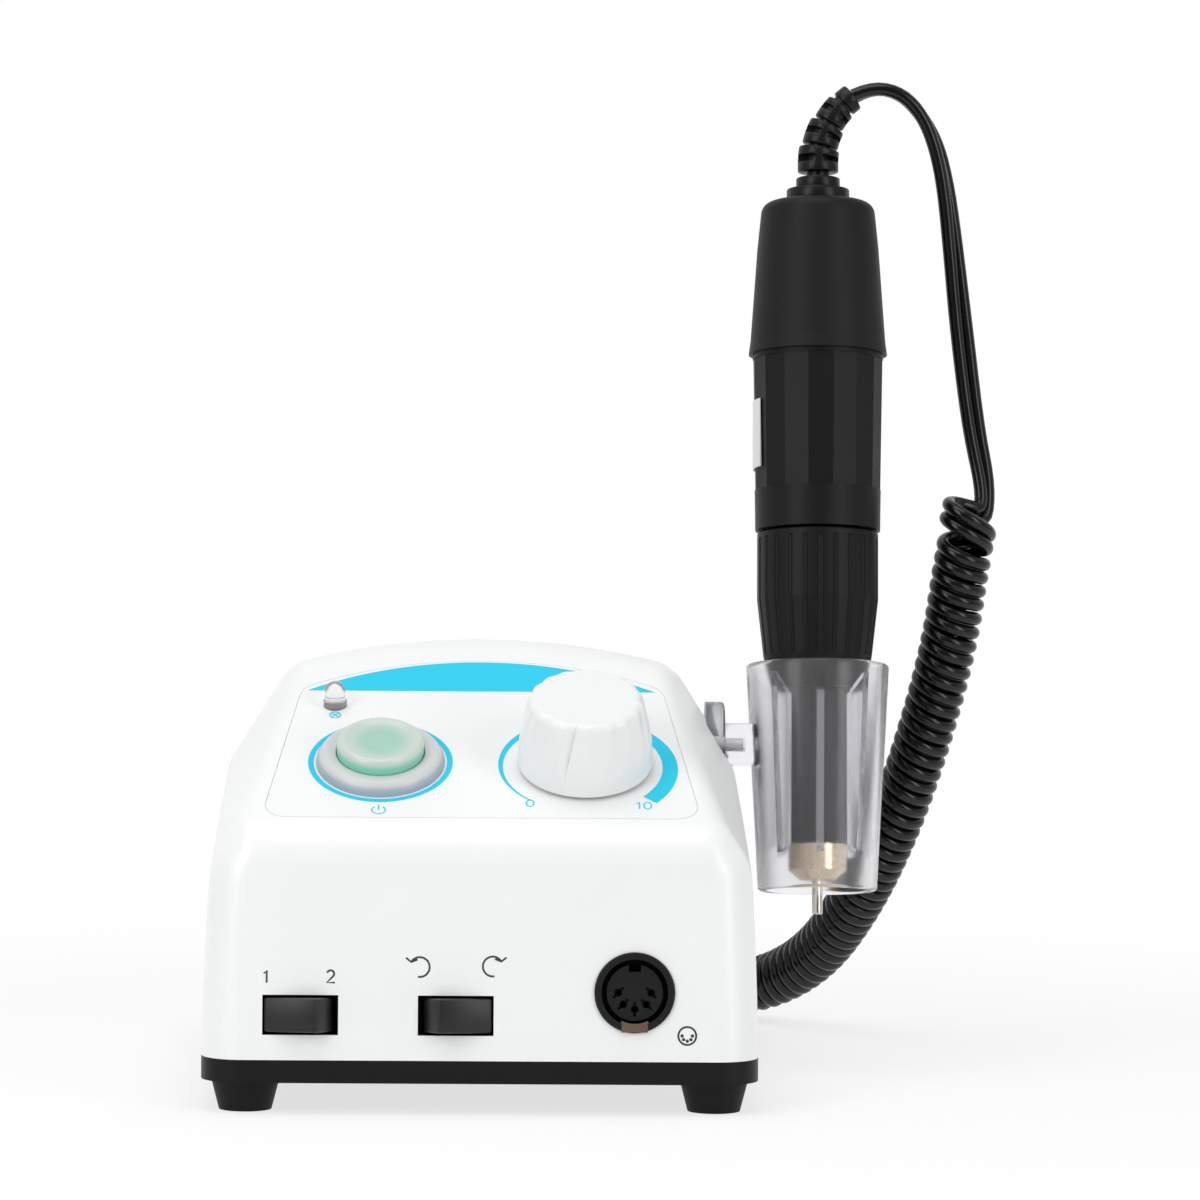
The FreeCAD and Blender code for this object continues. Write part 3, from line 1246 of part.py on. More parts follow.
def cup_radius(t):
    """The cup's outer radius at a height along its axis."""
    share = (t - CUP_BOTTOM) / (CUP_TOP - CUP_BOTTOM)
    return CUP_BOTTOM_RADIUS + share * (CUP_TOP_RADIUS - CUP_BOTTOM_RADIUS)


def cradle_ribs():
    """Thin ribs inside the cup, whose slanted tops carry the handpiece."""
    made = []
    for n in range(RIB_COUNT):
        outline = [
            (RIB_INNER_RADIUS, RIB_BOTTOM + 2),
            (RIB_INNER_RADIUS + 2, RIB_BOTTOM),
            (cup_radius(RIB_BOTTOM) - CUP_WALL / 2, RIB_BOTTOM),
            (cup_radius(RIB_TOP) - CUP_WALL / 2, RIB_TOP),
            (cup_radius(RIB_TOP) - CUP_WALL, RIB_TOP),
            (RIB_INNER_RADIUS, RIB_SEAT),
        ]
        points = [Vector(r, -RIB_THICKNESS / 2, t) for r, t in outline]
        rib = Part.Face(Part.makePolygon(points + points[:1])).extrude(Vector(0, RIB_THICKNESS, 0))
        rib.rotate(Vector(0, 0, 0), Vector(0, 0, 1), 360 / RIB_COUNT * n)
        made.append(rib)
    return made


def cradle_cup():
    cup = turned(
        [
            (cup_radius(CUP_BOTTOM) - CUP_WALL, CUP_BOTTOM),
            (cup_radius(CUP_BOTTOM), CUP_BOTTOM),
            (CUP_TOP_RADIUS, CUP_TOP),
            (CUP_TOP_RADIUS - CUP_WALL, CUP_TOP),
        ]
    )
    cup = softened(
        cup, 0.8, lambda m: m.z < CUP_BOTTOM + 0.1 or m.z > CUP_TOP - 0.1
    )
    for rib in cradle_ribs():
        cup = cup.fuse(rib)
    cup = put(cup, HAND)
    disc = rod(DISC_RADIUS, SEAT_X, SEAT_X + DISC_THICKNESS)
    disc = softened(disc, 0.8, lambda m: m.z > SEAT_X + DISC_THICKNESS - 0.1)
    stub_end = SEAT_X - SEAT_PAD - 0.2
    disc = disc.fuse(rod(PIVOT_RADIUS, stub_end, SEAT_X + 1))
    stem_end = CUP_X - cup_radius(0) + CUP_WALL / 2
    stem = centred(STEM_HEIGHT, STEM_WIDTH, SEAT_X + DISC_THICKNESS - 1, stem_end)
    stem = softened(
        stem, 1.5, lambda m: abs(m.z - (SEAT_X + DISC_THICKNESS - 1 + stem_end) / 2) < 0.1
    )
    arm = disc.fuse(stem)
    arm = arm.cut(rod(SCREW_RADIUS, stub_end - 1, stub_end + CRADLE_SCREW_LENGTH))
    return cup.fuse(put(arm, STEM))


def cradle_screw():
    """The screw with a broad head that holds the cradle's pivot from inside the box."""
    head_face = SEAT_X - SEAT_PAD - 0.2
    head = rod(CRADLE_SCREW_HEAD_RADIUS, head_face - CRADLE_SCREW_HEAD, head_face)
    return put(head.fuse(rod(SCREW_RADIUS, head_face - 0.5, head_face + CRADLE_SCREW_LENGTH - 0.5)), STEM)


# Handpiece


def barrel_radius(t):
    share = (t - BARREL_START) / (BOOT_START - BARREL_START)
    return BARREL_FRONT_RADIUS + share * (BARREL_REAR_RADIUS - BARREL_FRONT_RADIUS)


def handpiece_barrel():
    """The motor's tube, with shallow flats, a front neck for the grip and a rear one for the boot."""
    rear_neck = BOOT_BORE - NECK_GAP
    barrel = turned(
        [
            (0, GRIP_END + 1.5),
            (NECK_FRONT_RADIUS, GRIP_END + 1.5),
            (NECK_FRONT_RADIUS, BARREL_START),
            (BARREL_FRONT_RADIUS, BARREL_START),
            (BARREL_REAR_RADIUS, BOOT_START),
            (rear_neck, BOOT_START),
            (rear_neck, NECK_REAR_TOP),
            (0, NECK_REAR_TOP),
        ]
    )
    for n in range(BARREL_FLATS):
        turn = 360 / BARREL_FLATS * n
        depth = BARREL_FRONT_RADIUS * math.cos(math.pi / BARREL_FLATS)
        flat = block(depth, 2 * depth, -depth, depth, FLATS_START, FLATS_END)
        lean = math.degrees(
            math.atan2(BARREL_REAR_RADIUS - BARREL_FRONT_RADIUS, BOOT_START - BARREL_START)
        )
        flat.rotate(Vector(depth, 0, FLATS_START), Vector(0, 1, 0), lean)
        flat.translate(Vector(barrel_radius(FLATS_START) - BARREL_FRONT_RADIUS, 0, 0))
        flat.rotate(Vector(0, 0, 0), Vector(0, 0, 1), turn)
        barrel = barrel.cut(flat)
    motor_end = REAR_BEARING - BEARING_THICKNESS / 2
    barrel = barrel.cut(rod(BARREL_BORE, MOTOR_FRONT - 2, motor_end - 1.5))
    barrel = barrel.cut(rod(SLEEVE_RADIUS, GRIP_END, MOTOR_FRONT - 6))
    barrel = barrel.cut(rod(SPINDLE_RADIUS + 1, GRIP_END, NECK_REAR_TOP - 1))
    bearing = 2 * SPINDLE_RADIUS + 1
    barrel = barrel.cut(rod(bearing, motor_end - 3, REAR_BEARING + BEARING_THICKNESS / 2))
    barrel = barrel.cut(rod(bearing - 1.5, motor_end, NECK_REAR_TOP + 1))
    return put(barrel, HAND)


def twist_grip():
    """The fluted ring that opens and locks the chuck by a part turn."""
    grip = turned(
        [
            (NECK_FRONT_RADIUS + NECK_GAP, GRIP_END),
            (GRIP_END_RADIUS, GRIP_END),
            (GRIP_KNEE_RADIUS, GRIP_KNEE),
            (GRIP_RADIUS, GRIP_WAIST),
            (GRIP_RADIUS, GRIP_TOP),
            (NECK_FRONT_RADIUS + NECK_GAP, GRIP_TOP),
        ]
    )
    grip = softened(grip, 0.6, lambda m: m.z > GRIP_TOP - 0.1 and abs(m.x) > GRIP_RADIUS - 1)
    lean = math.degrees(math.atan2(GRIP_RADIUS - GRIP_KNEE_RADIUS, GRIP_WAIST - GRIP_KNEE))
    out = GRIP_RADIUS + GRIP_FLUTE_RADIUS - GRIP_FLUTE_DEPTH
    for n in range(GRIP_FLUTES):
        flute = Part.makeCylinder(GRIP_FLUTE_RADIUS, GRIP_TOP - GRIP_KNEE, Vector(out, 0, GRIP_WAIST))
        lower = Part.makeCylinder(
            GRIP_FLUTE_RADIUS, GRIP_WAIST - GRIP_KNEE, Vector(out, 0, GRIP_WAIST), Vector(0, 0, -1)
        )
        lower.rotate(Vector(out, 0, GRIP_WAIST), Vector(0, 1, 0), lean)
        flute = flute.fuse(lower).common(block(0, 2 * out, -5, 5, GRIP_KNEE, GRIP_TOP - 1.5))
        flute.rotate(Vector(0, 0, 0), Vector(0, 0, 1), 360 / GRIP_FLUTES * n)
        grip = grip.cut(flute)
    return put(grip, HAND)


def nose_sleeve():
    sleeve = ring(SLEEVE_RADIUS, SLEEVE_BORE, SLEEVE_END, MOTOR_FRONT - 6)
    sleeve = softened(sleeve, 0.6, lambda m: m.z < SLEEVE_END + 0.1 and m.x > SLEEVE_BORE + 1)
    return put(sleeve, HAND)


def bearing_places():
    """The lower face of each bearing: two in the nose and one behind the motor."""
    low = SLEEVE_END + BEARING_SETBACK
    return [low, low + NOSE_BEARING_SPACING, REAR_BEARING - BEARING_THICKNESS / 2]


def bearings():
    made = []
    for t, outer in zip(bearing_places(), (SLEEVE_BORE, SLEEVE_BORE, 2 * SPINDLE_RADIUS + 1)):
        race = ring(outer, SPINDLE_RADIUS + BEARING_GAP, t, t + BEARING_THICKNESS)
        made.append(put(race, HAND))
    return group(made)


def spindle():
    top = REAR_BEARING + BEARING_THICKNESS / 2 + 1
    return put(rod(SPINDLE_RADIUS, SLEEVE_END + 0.5, top), HAND)


def chuck_nose():
    """The steel nose of the chuck, which turns with the spindle and holds the bur."""
    nose = turned(
        [
            (0, CHUCK_END),
            (CHUCK_RADIUS - 2.6, CHUCK_END),
            (CHUCK_RADIUS, CHUCK_END + 2.2),
            (CHUCK_RADIUS, SLEEVE_END - 0.4),
            (SPINDLE_RADIUS, SLEEVE_END - 0.4),
            (SPINDLE_RADIUS, SLEEVE_END + 0.5),
            (0, SLEEVE_END + 0.5),
        ]
    )
    return put(nose.cut(rod(BUR_RADIUS, CHUCK_END - 1, SLEEVE_END + 1)), HAND)


def bur_shank():
    shank = rod(BUR_RADIUS, BUR_END, SLEEVE_END + 0.5)
    return put(softened(shank, 0.3, lambda m: m.z < BUR_END + 0.1), HAND)


def armature():
    """The slotted iron of the motor, with its windings' ends, on the spindle."""
    z0, z1 = MOTOR_FRONT + 3, MOTOR_FRONT + MOTOR_LENGTH - 3
    core = rod(ARMATURE_RADIUS, z0, z1)
    for n in range(ARMATURE_SLOTS):
        slot = block(ARMATURE_RADIUS * 0.5, ARMATURE_RADIUS + 1, -0.8, 0.8, z0 - 1, z1 + 1)
        slot.rotate(Vector(0, 0, 0), Vector(0, 0, 1), 360 / ARMATURE_SLOTS * n)
        core = core.cut(slot)
    core = core.fuse(rod(ARMATURE_RADIUS * 0.75, z0 - 2, z1 + 2))
    return put(core.cut(rod(SPINDLE_RADIUS, z0 - 5, z1 + 5)), HAND)


def commutator():
    z0 = MOTOR_FRONT + MOTOR_LENGTH
    return put(ring(COMMUTATOR_RADIUS, SPINDLE_RADIUS, z0, z0 + COMMUTATOR_LENGTH), HAND)


def motor_magnets():
    z0, z1 = MOTOR_FRONT, MOTOR_FRONT + MOTOR_LENGTH - 2
    outer = BARREL_BORE
    made = [sector(outer, outer - MAGNET_THICKNESS, 130, a, z0, z1) for a in (0, 180)]
    return group(put(magnet, HAND) for magnet in made)


def brush_gear():
    """A ring in the barrel with two guides, each with a carbon brush on the commutator."""
    z0 = MOTOR_FRONT + MOTOR_LENGTH + 1
    z1 = z0 + COMMUTATOR_LENGTH - 2
    gear = ring(BARREL_BORE, BARREL_BORE - 2, z0, z1)
    for side in (-1, 1):
        inner = COMMUTATOR_RADIUS + SHAFT_CLEARANCE
        brush = block(inner, BARREL_BORE - 1, -BRUSH_WIDTH / 2, BRUSH_WIDTH / 2, z0, z1)
        brush = brush.cut(rod(inner, z0 - 1, z1 + 1))
        if side < 0:
            brush.rotate(Vector(0, 0, 0), Vector(0, 0, 1), 180)
        gear = gear.fuse(brush)
    return put(gear, HAND)


def rating_plate():
    """A bare plate on the barrel's left side."""
    middle_t = (PLATE_START + PLATE_END) / 2
    face = barrel_radius(middle_t)
    plate = sector(face + PLATE_THICKNESS, face - 0.3, PLATE_ANGLE, 180, PLATE_START, PLATE_END)
    return put(plate.cut(barrel_block()), HAND)


def barrel_block():
    """The space of the barrel's outside, which the plate lies on."""
    return turned(
        [
            (0, BARREL_START),
            (BARREL_FRONT_RADIUS, BARREL_START),
            (BARREL_REAR_RADIUS, BOOT_START),
            (0, BOOT_START),
        ]
    )


def rear_boot():
    boot = turned(
        [
            (BOOT_BORE, BOOT_START),
            (BOOT_FLARE_RADIUS, BOOT_START),
            (BOOT_FLARE_RADIUS - 0.4, BOOT_START + 3),
            (BOOT_RADIUS, BOOT_START + 24),
            (BOOT_TOP_RADIUS, BOOT_TOP),
            (0, BOOT_TOP),
            (0, NECK_REAR_TOP + 2),
            (BOOT_BORE, NECK_REAR_TOP + 2),
        ]
    )
    boot = softened(boot, BOOT_EDGE, lambda m: m.z > BOOT_TOP - 0.1)
    return put(boot, HAND)


def gland_frame(turn):
    """The frame of the strain relief after it has bent by an angle towards the right."""
    start = BOOT_TOP + sum(height for _, height in GLAND_COLLARS) + GLAND_STRAIGHT
    a = math.radians(turn)
    x = GLAND_BEND_RADIUS * (1 - math.cos(a))
    z = start + GLAND_BEND_RADIUS * math.sin(a)
    return HAND.multiply(Placement(Vector(x, 0, z), Rotation(Vector(0, 1, 0), turn)))


def along_gland(face, start, end):
    """What a face sweeps along the strain relief, between two lengths from where it bends."""
    runs = []
    if start < 0:
        low = put(face, Placement(Vector(0, 0, start), Rotation()))
        runs.append(low.extrude(Vector(0, 0, min(end, 0) - start)))
    if end > 0:
        centre = Vector(GLAND_BEND_RADIUS, 0, 0)
        first = math.degrees(max(start, 0) / GLAND_BEND_RADIUS)
        bent = face.copy()
        bent.rotate(centre, Vector(0, 1, 0), first)
        runs.append(bent.revolve(centre, Vector(0, 1, 0), math.degrees(end / GLAND_BEND_RADIUS) - first))
    return runs[0].fuse(runs[1:]) if runs[1:] else runs[0]


def disc_face(radius):
    return Part.Face(Part.Wire(Part.makeCircle(radius)))


def strain_relief():
    """Two collars and a bent core with rings, of which all but the last have four slots."""
    top = -GLAND_STRAIGHT
    relief = along_gland(disc_face(GLAND_CORE_RADIUS), top, GLAND_RINGS[-1][1])
    for radius, height in reversed(GLAND_COLLARS):
        collar = rod(radius, top - height, top)
        relief = relief.fuse(softened(collar, 0.5, lambda m, edge=top: m.z > edge - 0.1))
        top -= height
    for start, end, radius in GLAND_RINGS:
        relief = relief.fuse(along_gland(disc_face(radius), start, end))
    for start, end, radius in GLAND_RINGS[:-1]:
        slots = disc_face(radius + 0.1).cut(disc_face(GLAND_CORE_RADIUS))
        slots = slots.cut(centred(4 * radius, GLAND_WEB, -1, 1)).cut(centred(GLAND_WEB, 4 * radius, -1, 1))
        centre = (start + end) / 2
        for slot in slots.Faces:
            relief = relief.cut(along_gland(slot, centre - GLAND_SLOT / 2, centre + GLAND_SLOT / 2))
    return put(relief, gland_frame(0))


# Cord


def arc_between(start, heading, end):
    """The edge of the circle that leaves start along heading and goes through end."""
    chord = end - start
    flat = Vector(chord).normalize()
    side = heading - flat * heading.dot(flat)
    side.normalize()
    bulge = chord.Length / 2 * math.tan(heading.getAngle(chord) / 2)
    return Part.Arc(start, (start + end) * 0.5 + side * bulge, end).toShape()


def bent_path(points, label):
    """Straight runs joined by tangent arcs, each as large as its two runs allow."""
    edges = []
    at = points[0]
    radii = []
    for before, corner, after in zip(points, points[1:], points[2:]):
        runs = (corner - before, after - corner)
        half_turn = runs[0].getAngle(runs[1]) / 2
        radius = 0.45 * min(run.Length for run in runs) / math.tan(half_turn)
        radii.append(radius)
        trim = radius * math.tan(half_turn)
        entry = corner - Vector(runs[0]).normalize() * trim
        leave = corner + Vector(runs[1]).normalize() * trim
        edges.append(Part.LineSegment(at, entry).toShape())
        edges.append(arc_between(entry, runs[0], leave))
        at = leave
    edges.append(Part.LineSegment(at, points[-1]).toShape())
    print(label, "bends at radii of", [round(radius, 1) for radius in radii])
    return Part.Wire(edges)


def tube_along(path, label):
    """A round tube on a path, whose volume is compared with section times length."""
    start = path.Edges[0]
    heading = start.tangentAt(start.FirstParameter)
    circle = Part.makeCircle(STRAND_RADIUS, start.valueAt(start.FirstParameter), heading)
    tube = path.makePipeShell([Part.Wire(circle)], True, False)
    expected = math.pi * STRAND_RADIUS**2 * path.Length
    print(label, "volume over section times length:", round(tube.Volume / expected, 4))
    return tube


def curl_frames():
    """Places along the middle of the curls, about half a turn apart: point, heading and side."""
    middle_line = Part.BSplineCurve()
    middle_line.interpolate([Vector(*point) for point in CURL_AXIS])
    length = middle_line.length()
    halves = 2 * math.ceil(CURL_TURNS)
    frames = []
    side = Vector(1, 0, 0)
    for n in range(halves + 1):
        at = middle_line.parameterAtDistance(length * n / halves)
        heading = Vector(*middle_line.tangent(at)[0]).normalize()
        side = (side - heading * side.dot(heading)).normalize()
        frames.append((middle_line.value(at), heading, side))
    return frames, length / CURL_TURNS


def curl_points(strand):
    """Points of one strand with its direction there; the second starts half a turn later."""
    frames, pitch = curl_frames()
    halves = len(frames) - 1
    step = 360 * CURL_TURNS / halves
    made = []
    for n in range(strand, halves + strand):
        centre, heading, side = frames[n]
        angle = math.radians(CURL_START_ANGLE + 180 * strand - step * n)
        other = heading.cross(side)
        outward = side * math.cos(angle) + other * math.sin(angle)
        around = side * math.sin(angle) - other * math.cos(angle)
        direction = (around * (2 * math.pi * CURL_RADIUS) + heading * pitch).normalize()
        made.append((centre + outward * CURL_RADIUS, direction))
    return made


def joint_of_arcs(p0, t0, p1, t1):
    """Where the two arcs of a biarc meet, for two points with their directions."""
    chord = p1 - p0
    both = t0 + t1
    k = 2 * (1 - t0.dot(t1))
    reach = (math.sqrt(chord.dot(both) ** 2 + k * chord.dot(chord)) - chord.dot(both)) / k
    return (p0 + p1 + (t0 - t1) * reach) * 0.5


def curl_path(strand):
    """One strand's curls as two arcs for each half turn, with a straight end at each side."""
    points = curl_points(strand)
    first, first_heading = points[0]
    last, last_heading = points[-1]
    straight = 2 * STRAND_RADIUS
    edges = [Part.LineSegment(first - first_heading * straight, first).toShape()]
    for (p0, t0), (p1, t1) in zip(points, points[1:]):
        meeting = joint_of_arcs(p0, t0, p1, t1)
        edges.append(arc_between(p0, t0, meeting))
        backwards = arc_between(p1, t1 * -1, meeting)
        edges.append(Part.Arc(meeting, middle(backwards), p1).toShape())
    edges.append(Part.LineSegment(last, last + last_heading * straight).toShape())
    return Part.Wire(edges)


def least_gap(paths):
    """The least gap between the surfaces of the curls' strands, on points along their paths."""
    step = STRAND_RADIUS
    lines = [path.discretize(Distance=step) for path in paths]
    turn = 2 * math.pi * CURL_RADIUS / step
    least = math.inf
    for line, other in (lines, lines[::-1]):
        for n, point in enumerate(line):
            for m in range(n + int(turn / 2), min(n + int(turn * 1.6), len(line))):
                least = min(least, point.distanceToPoint(line[m]))
            for m in range(max(0, n - int(turn)), min(n + int(turn), len(other))):
                least = min(least, point.distanceToPoint(other[m]))
    return least - 2 * STRAND_RADIUS


def cord_curls():
    paths = [curl_path(0), curl_path(1)]
    print("least gap between the curls' strands:", round(least_gap(paths), 3))
    return group(tube_along(path, "curls") for path in paths)


def fold(strand, end):
    """The corner where a strand folds over into its curls, and the point where it meets them."""
    point, heading = curl_points(strand)[end]
    away = heading if end else heading * -1
    outer = strand if end == 0 else 1 - strand
    meeting = point + away * (2 * STRAND_RADIUS)
    return meeting + away * (FOLD_RUN + outer * FOLD_SPREAD), meeting


def cord_lead():
    """The two strands from the strain relief to the first curl."""
    exit_frame = gland_frame(GLAND_TURN)
    across = exit_frame.Rotation.multVec(Vector(0, 1, 0))
    made = []
    for strand in (0, 1):
        offset = STRAND_SPACING * (strand - 0.5)
        points = [exit_frame.Base + across * offset]
        points += [Vector(*point) + Vector(*side).normalize() * offset for point, side in LEAD_POINTS]
        points += fold(strand, 0)
        made.append(tube_along(bent_path(points, "lead"), "lead"))
    return group(made)


def cord_tail():
    """The two strands from the last curl to the plug."""
    made = []
    for strand in (0, 1):
        corner, meeting = fold(strand, -1)
        offset = Vector(0, STRAND_SPACING * (strand - 0.5), 0)
        points = [meeting, corner] + [Vector(*point) + offset for point in TAIL_POINTS]
        made.append(tube_along(bent_path(points, "tail"), "tail"))
    return group(made)


def plug_frame():
    """The plug lies on the table behind the box, and points to the left."""
    x, y, z = TAIL_POINTS[-1]
    return Placement(Vector(x, y, z), Rotation(Vector(0, 1, 0), -90))


def plug_boot():
    boot = turned(
        [
            (0, 0),
            (PLUG_GRIP_NECK, 0),
            (PLUG_GRIP_RADIUS, PLUG_GRIP_LENGTH * 0.55),
            (PLUG_GRIP_RADIUS, PLUG_GRIP_LENGTH),
            (0, PLUG_GRIP_LENGTH),
        ]
    )
    return put(boot, plug_frame())


def plug_shell():
    start = PLUG_GRIP_LENGTH
    shell = ring(PLUG_RADIUS, PLUG_RADIUS - PLUG_SHELL_WALL, start, start + PLUG_SHELL_LENGTH)
    floor = rod(PLUG_RADIUS, start, start + 1.5)
    return put(shell.fuse(floor), plug_frame())


def plug_pins():
    start = PLUG_GRIP_LENGTH + 1.5
    made = []
    for x, y in socket_pin_places(SOCKET_PIN_CIRCLE):
        pin = rod(PLUG_PIN_RADIUS, start, start + PLUG_PIN_LENGTH, x, y)
        pin = softened(pin, 0.3, lambda m: m.z > start + PLUG_PIN_LENGTH - 0.1)
        made.append(put(pin, plug_frame()))
    return group(made)


NODES = {
    "housing_cover": housing_cover,
    "base_tray": base_tray,
    "rubber_feet": rubber_feet,
    "case_screws": case_screws,
    "panel_overlay": panel_overlay,
    "overload_lamp": overload_lamp,
    "power_button_collar": power_button_collar,
    "power_switch_body": power_switch_body,
    "power_button_cap": power_button_cap,
    "power_button_core": power_button_core,
    "potentiometer_body": potentiometer_body,
    "potentiometer_nut": potentiometer_nut,
    "potentiometer_shaft": potentiometer_shaft,
    "speed_knob": speed_knob,
    "mode_rocker": lambda: rocker(0),
    "mode_switch_body": lambda: rocker_body(0),
    "direction_rocker": lambda: rocker(1),
    "direction_switch_body": lambda: rocker_body(1),
    "motor_socket_shell": motor_socket_shell,
    "motor_socket_insert": motor_socket_insert,
    "motor_socket_contacts": motor_socket_contacts,
    "motor_socket_shield": motor_socket_shield,
    "mains_inlet": mains_inlet,
    "inlet_pins": inlet_pins,
    "fuse_holder": fuse_holder,
    "fuse_cap": fuse_cap,
    "fuse_link": fuse_link,
    "pedal_jack": pedal_jack,
    "jack_nut": jack_nut,
    "control_board": control_board,
    "chassis_screws": chassis_screws,
    "filter_capacitors": filter_capacitors,
    "heat_sink": heat_sink,
    "power_transistor": power_transistor,
    "transformer_core": transformer_core,
    "transformer_winding": transformer_winding,
    "transformer_clamp": transformer_clamp,
    "cradle_cup": cradle_cup,
    "cradle_screw": cradle_screw,
    "handpiece_barrel": handpiece_barrel,
    "twist_grip": twist_grip,
    "nose_sleeve": nose_sleeve,
    "bearings": bearings,
    "spindle": spindle,
    "chuck_nose": chuck_nose,
    "bur_shank": bur_shank,
    "armature": armature,
    "commutator": commutator,
    "motor_magnets": motor_magnets,
    "brush_gear": brush_gear,
    "rating_plate": rating_plate,
    "rear_boot": rear_boot,
    "strain_relief": strain_relief,
    "cord_lead": cord_lead,
    "cord_curls": cord_curls,
    "cord_tail": cord_tail,
    "plug_boot": plug_boot,
    "plug_shell": plug_shell,
    "plug_pins": plug_pins,
}
ON_THE_CORD = ("cord_lead", "cord_curls", "cord_tail", "plug_boot", "plug_shell", "plug_pins")


def main():
    os.makedirs("parts", exist_ok=True)
    shapes = {name: make() for name, make in NODES.items()}
    firm = group(shape for name, shape in shapes.items() if name not in ON_THE_CORD)
    box = firm.optimalBoundingBox()
    origin = Vector((box.XMin + box.XMax) / 2, (box.YMin + box.YMax) / 2, box.ZMin)
    print("origin under the middle, from the box's front edge:", [round(c, 3) for c in origin])
    for name, shape in shapes.items():
        if not shape.isValid():
            print("not valid:", name)
        shape.translate(origin * -1)
        shape.exportStep(os.path.join("parts", name + ".step"))


main()
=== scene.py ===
import json
import math

import bmesh
import bpy
from mathutils import Matrix, Quaternion, Vector


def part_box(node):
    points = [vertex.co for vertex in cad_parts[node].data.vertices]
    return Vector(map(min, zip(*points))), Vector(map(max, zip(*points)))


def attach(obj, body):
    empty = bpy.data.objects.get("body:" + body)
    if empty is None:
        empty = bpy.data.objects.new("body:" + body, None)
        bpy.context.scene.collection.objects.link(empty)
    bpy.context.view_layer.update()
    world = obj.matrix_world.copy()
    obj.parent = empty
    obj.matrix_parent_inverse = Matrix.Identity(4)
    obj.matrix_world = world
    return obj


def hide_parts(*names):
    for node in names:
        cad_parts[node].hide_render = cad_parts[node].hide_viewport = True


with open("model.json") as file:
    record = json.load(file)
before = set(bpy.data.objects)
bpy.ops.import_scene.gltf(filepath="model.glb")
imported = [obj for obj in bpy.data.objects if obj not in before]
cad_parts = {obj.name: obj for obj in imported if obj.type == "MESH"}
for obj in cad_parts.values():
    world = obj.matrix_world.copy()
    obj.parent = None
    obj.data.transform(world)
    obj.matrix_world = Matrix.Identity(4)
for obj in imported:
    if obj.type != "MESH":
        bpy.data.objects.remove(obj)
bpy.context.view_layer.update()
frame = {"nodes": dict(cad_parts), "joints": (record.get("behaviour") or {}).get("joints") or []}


# The machine stands on a sheet of plain matt white paper, laid flat on a table. The sheet fades
# into the white of the room before its edge, so that no horizon shows behind the machine.
def srgb(code):
    """A colour of the object, given as an sRGB hex code, as the linear one that shaders use."""
    parts = [int(code[n : n + 2], 16) / 255 for n in (0, 2, 4)]
    linear = [p / 12.92 if p <= 0.04045 else ((p + 0.055) / 1.055) ** 2.4 for p in parts]
    return (*linear, 1)


def add(tree, kind, settings, links=()):
    """Adds a node to a material or the world, with its settings and what it is linked to."""
    made = tree.nodes.new("ShaderNode" + kind)
    for name, value in settings.items():
        if isinstance(name, str) and hasattr(made, name):
            setattr(made, name, value)
        else:
            made.inputs[name].default_value = value
    for name, source in dict(links).items():
        socket = source if isinstance(source, bpy.types.NodeSocket) else source.outputs[0]
        tree.links.new(socket, made.inputs[name])
    return made


def blank_material(name):
    """A material with no nodes yet, and its node tree."""
    material = bpy.data.materials.new(name)
    material.use_nodes = True
    material.node_tree.nodes.clear()
    return material, material.node_tree


SHEET_RADIUS = 0.6
SHEET_STEPS = 96
FADE_START = 0.12
FADE_END = 0.36
LEAST_FADE = 0.72


def white_sheet():
    """Matt white paper, which fades into the white of the room towards its edge."""
    material, tree = blank_material("white_backdrop_paper")
    spot = add(tree, "TexCoord", {})
    # Paper fibres are finer than this, and are drawn about 1 mm coarse so that they show
    fibres = add(
        tree, "TexNoise", {"Scale": 900.0, "Detail": 3.0}, {"Vector": spot.outputs["Object"]}
    )
    bump = add(tree, "Bump", {"Strength": 0.03, "Distance": 0.0002}, {"Height": fibres})
    paper = add(tree, "BsdfDiffuse", {"Color": srgb("F6F6F6")}, {"Normal": bump})
    glow = add(tree, "Emission", {"Color": srgb("FFFFFF"), "Strength": 1.0})
    seen = add(tree, "LightPath", {})
    direct = add(
        tree,
        "Math",
        {"operation": "MAXIMUM"},
        {0: seen.outputs["Is Camera Ray"], 1: seen.outputs["Is Glossy Ray"]},
    )
    direct = add(
        tree, "Math", {"operation": "MAXIMUM"}, {0: direct, 1: seen.outputs["Is Transmission Ray"]}
    )
    far = add(tree, "VectorMath", {"operation": "LENGTH"}, {0: spot.outputs["Object"]})
    edge = add(
        tree,
        "MapRange",
        {
            "interpolation_type": "SMOOTHSTEP",
            "From Min": FADE_START,
            "From Max": FADE_END,
            "To Min": LEAST_FADE,
        },
        {"Value": far.outputs["Value"]},
    )
    fade = add(tree, "Math", {"operation": "MULTIPLY"}, {0: edge, 1: direct})
    both = add(tree, "MixShader", {}, {0: fade, 1: paper, 2: glow})
    add(tree, "OutputMaterial", {}, {"Surface": both})
    return material


sheet_mesh = bpy.data.meshes.new("paper_sheet")
sheet_turns = [math.tau * n / SHEET_STEPS for n in range(SHEET_STEPS)]
rim = [(SHEET_RADIUS * math.cos(turn), SHEET_RADIUS * math.sin(turn), 0) for turn in sheet_turns]
sheet_mesh.from_pydata(rim, [], [range(SHEET_STEPS)])
paper_sheet = bpy.data.objects.new("paper_sheet", sheet_mesh)
bpy.context.scene.collection.objects.link(paper_sheet)
sheet_mesh.materials.append(white_sheet())


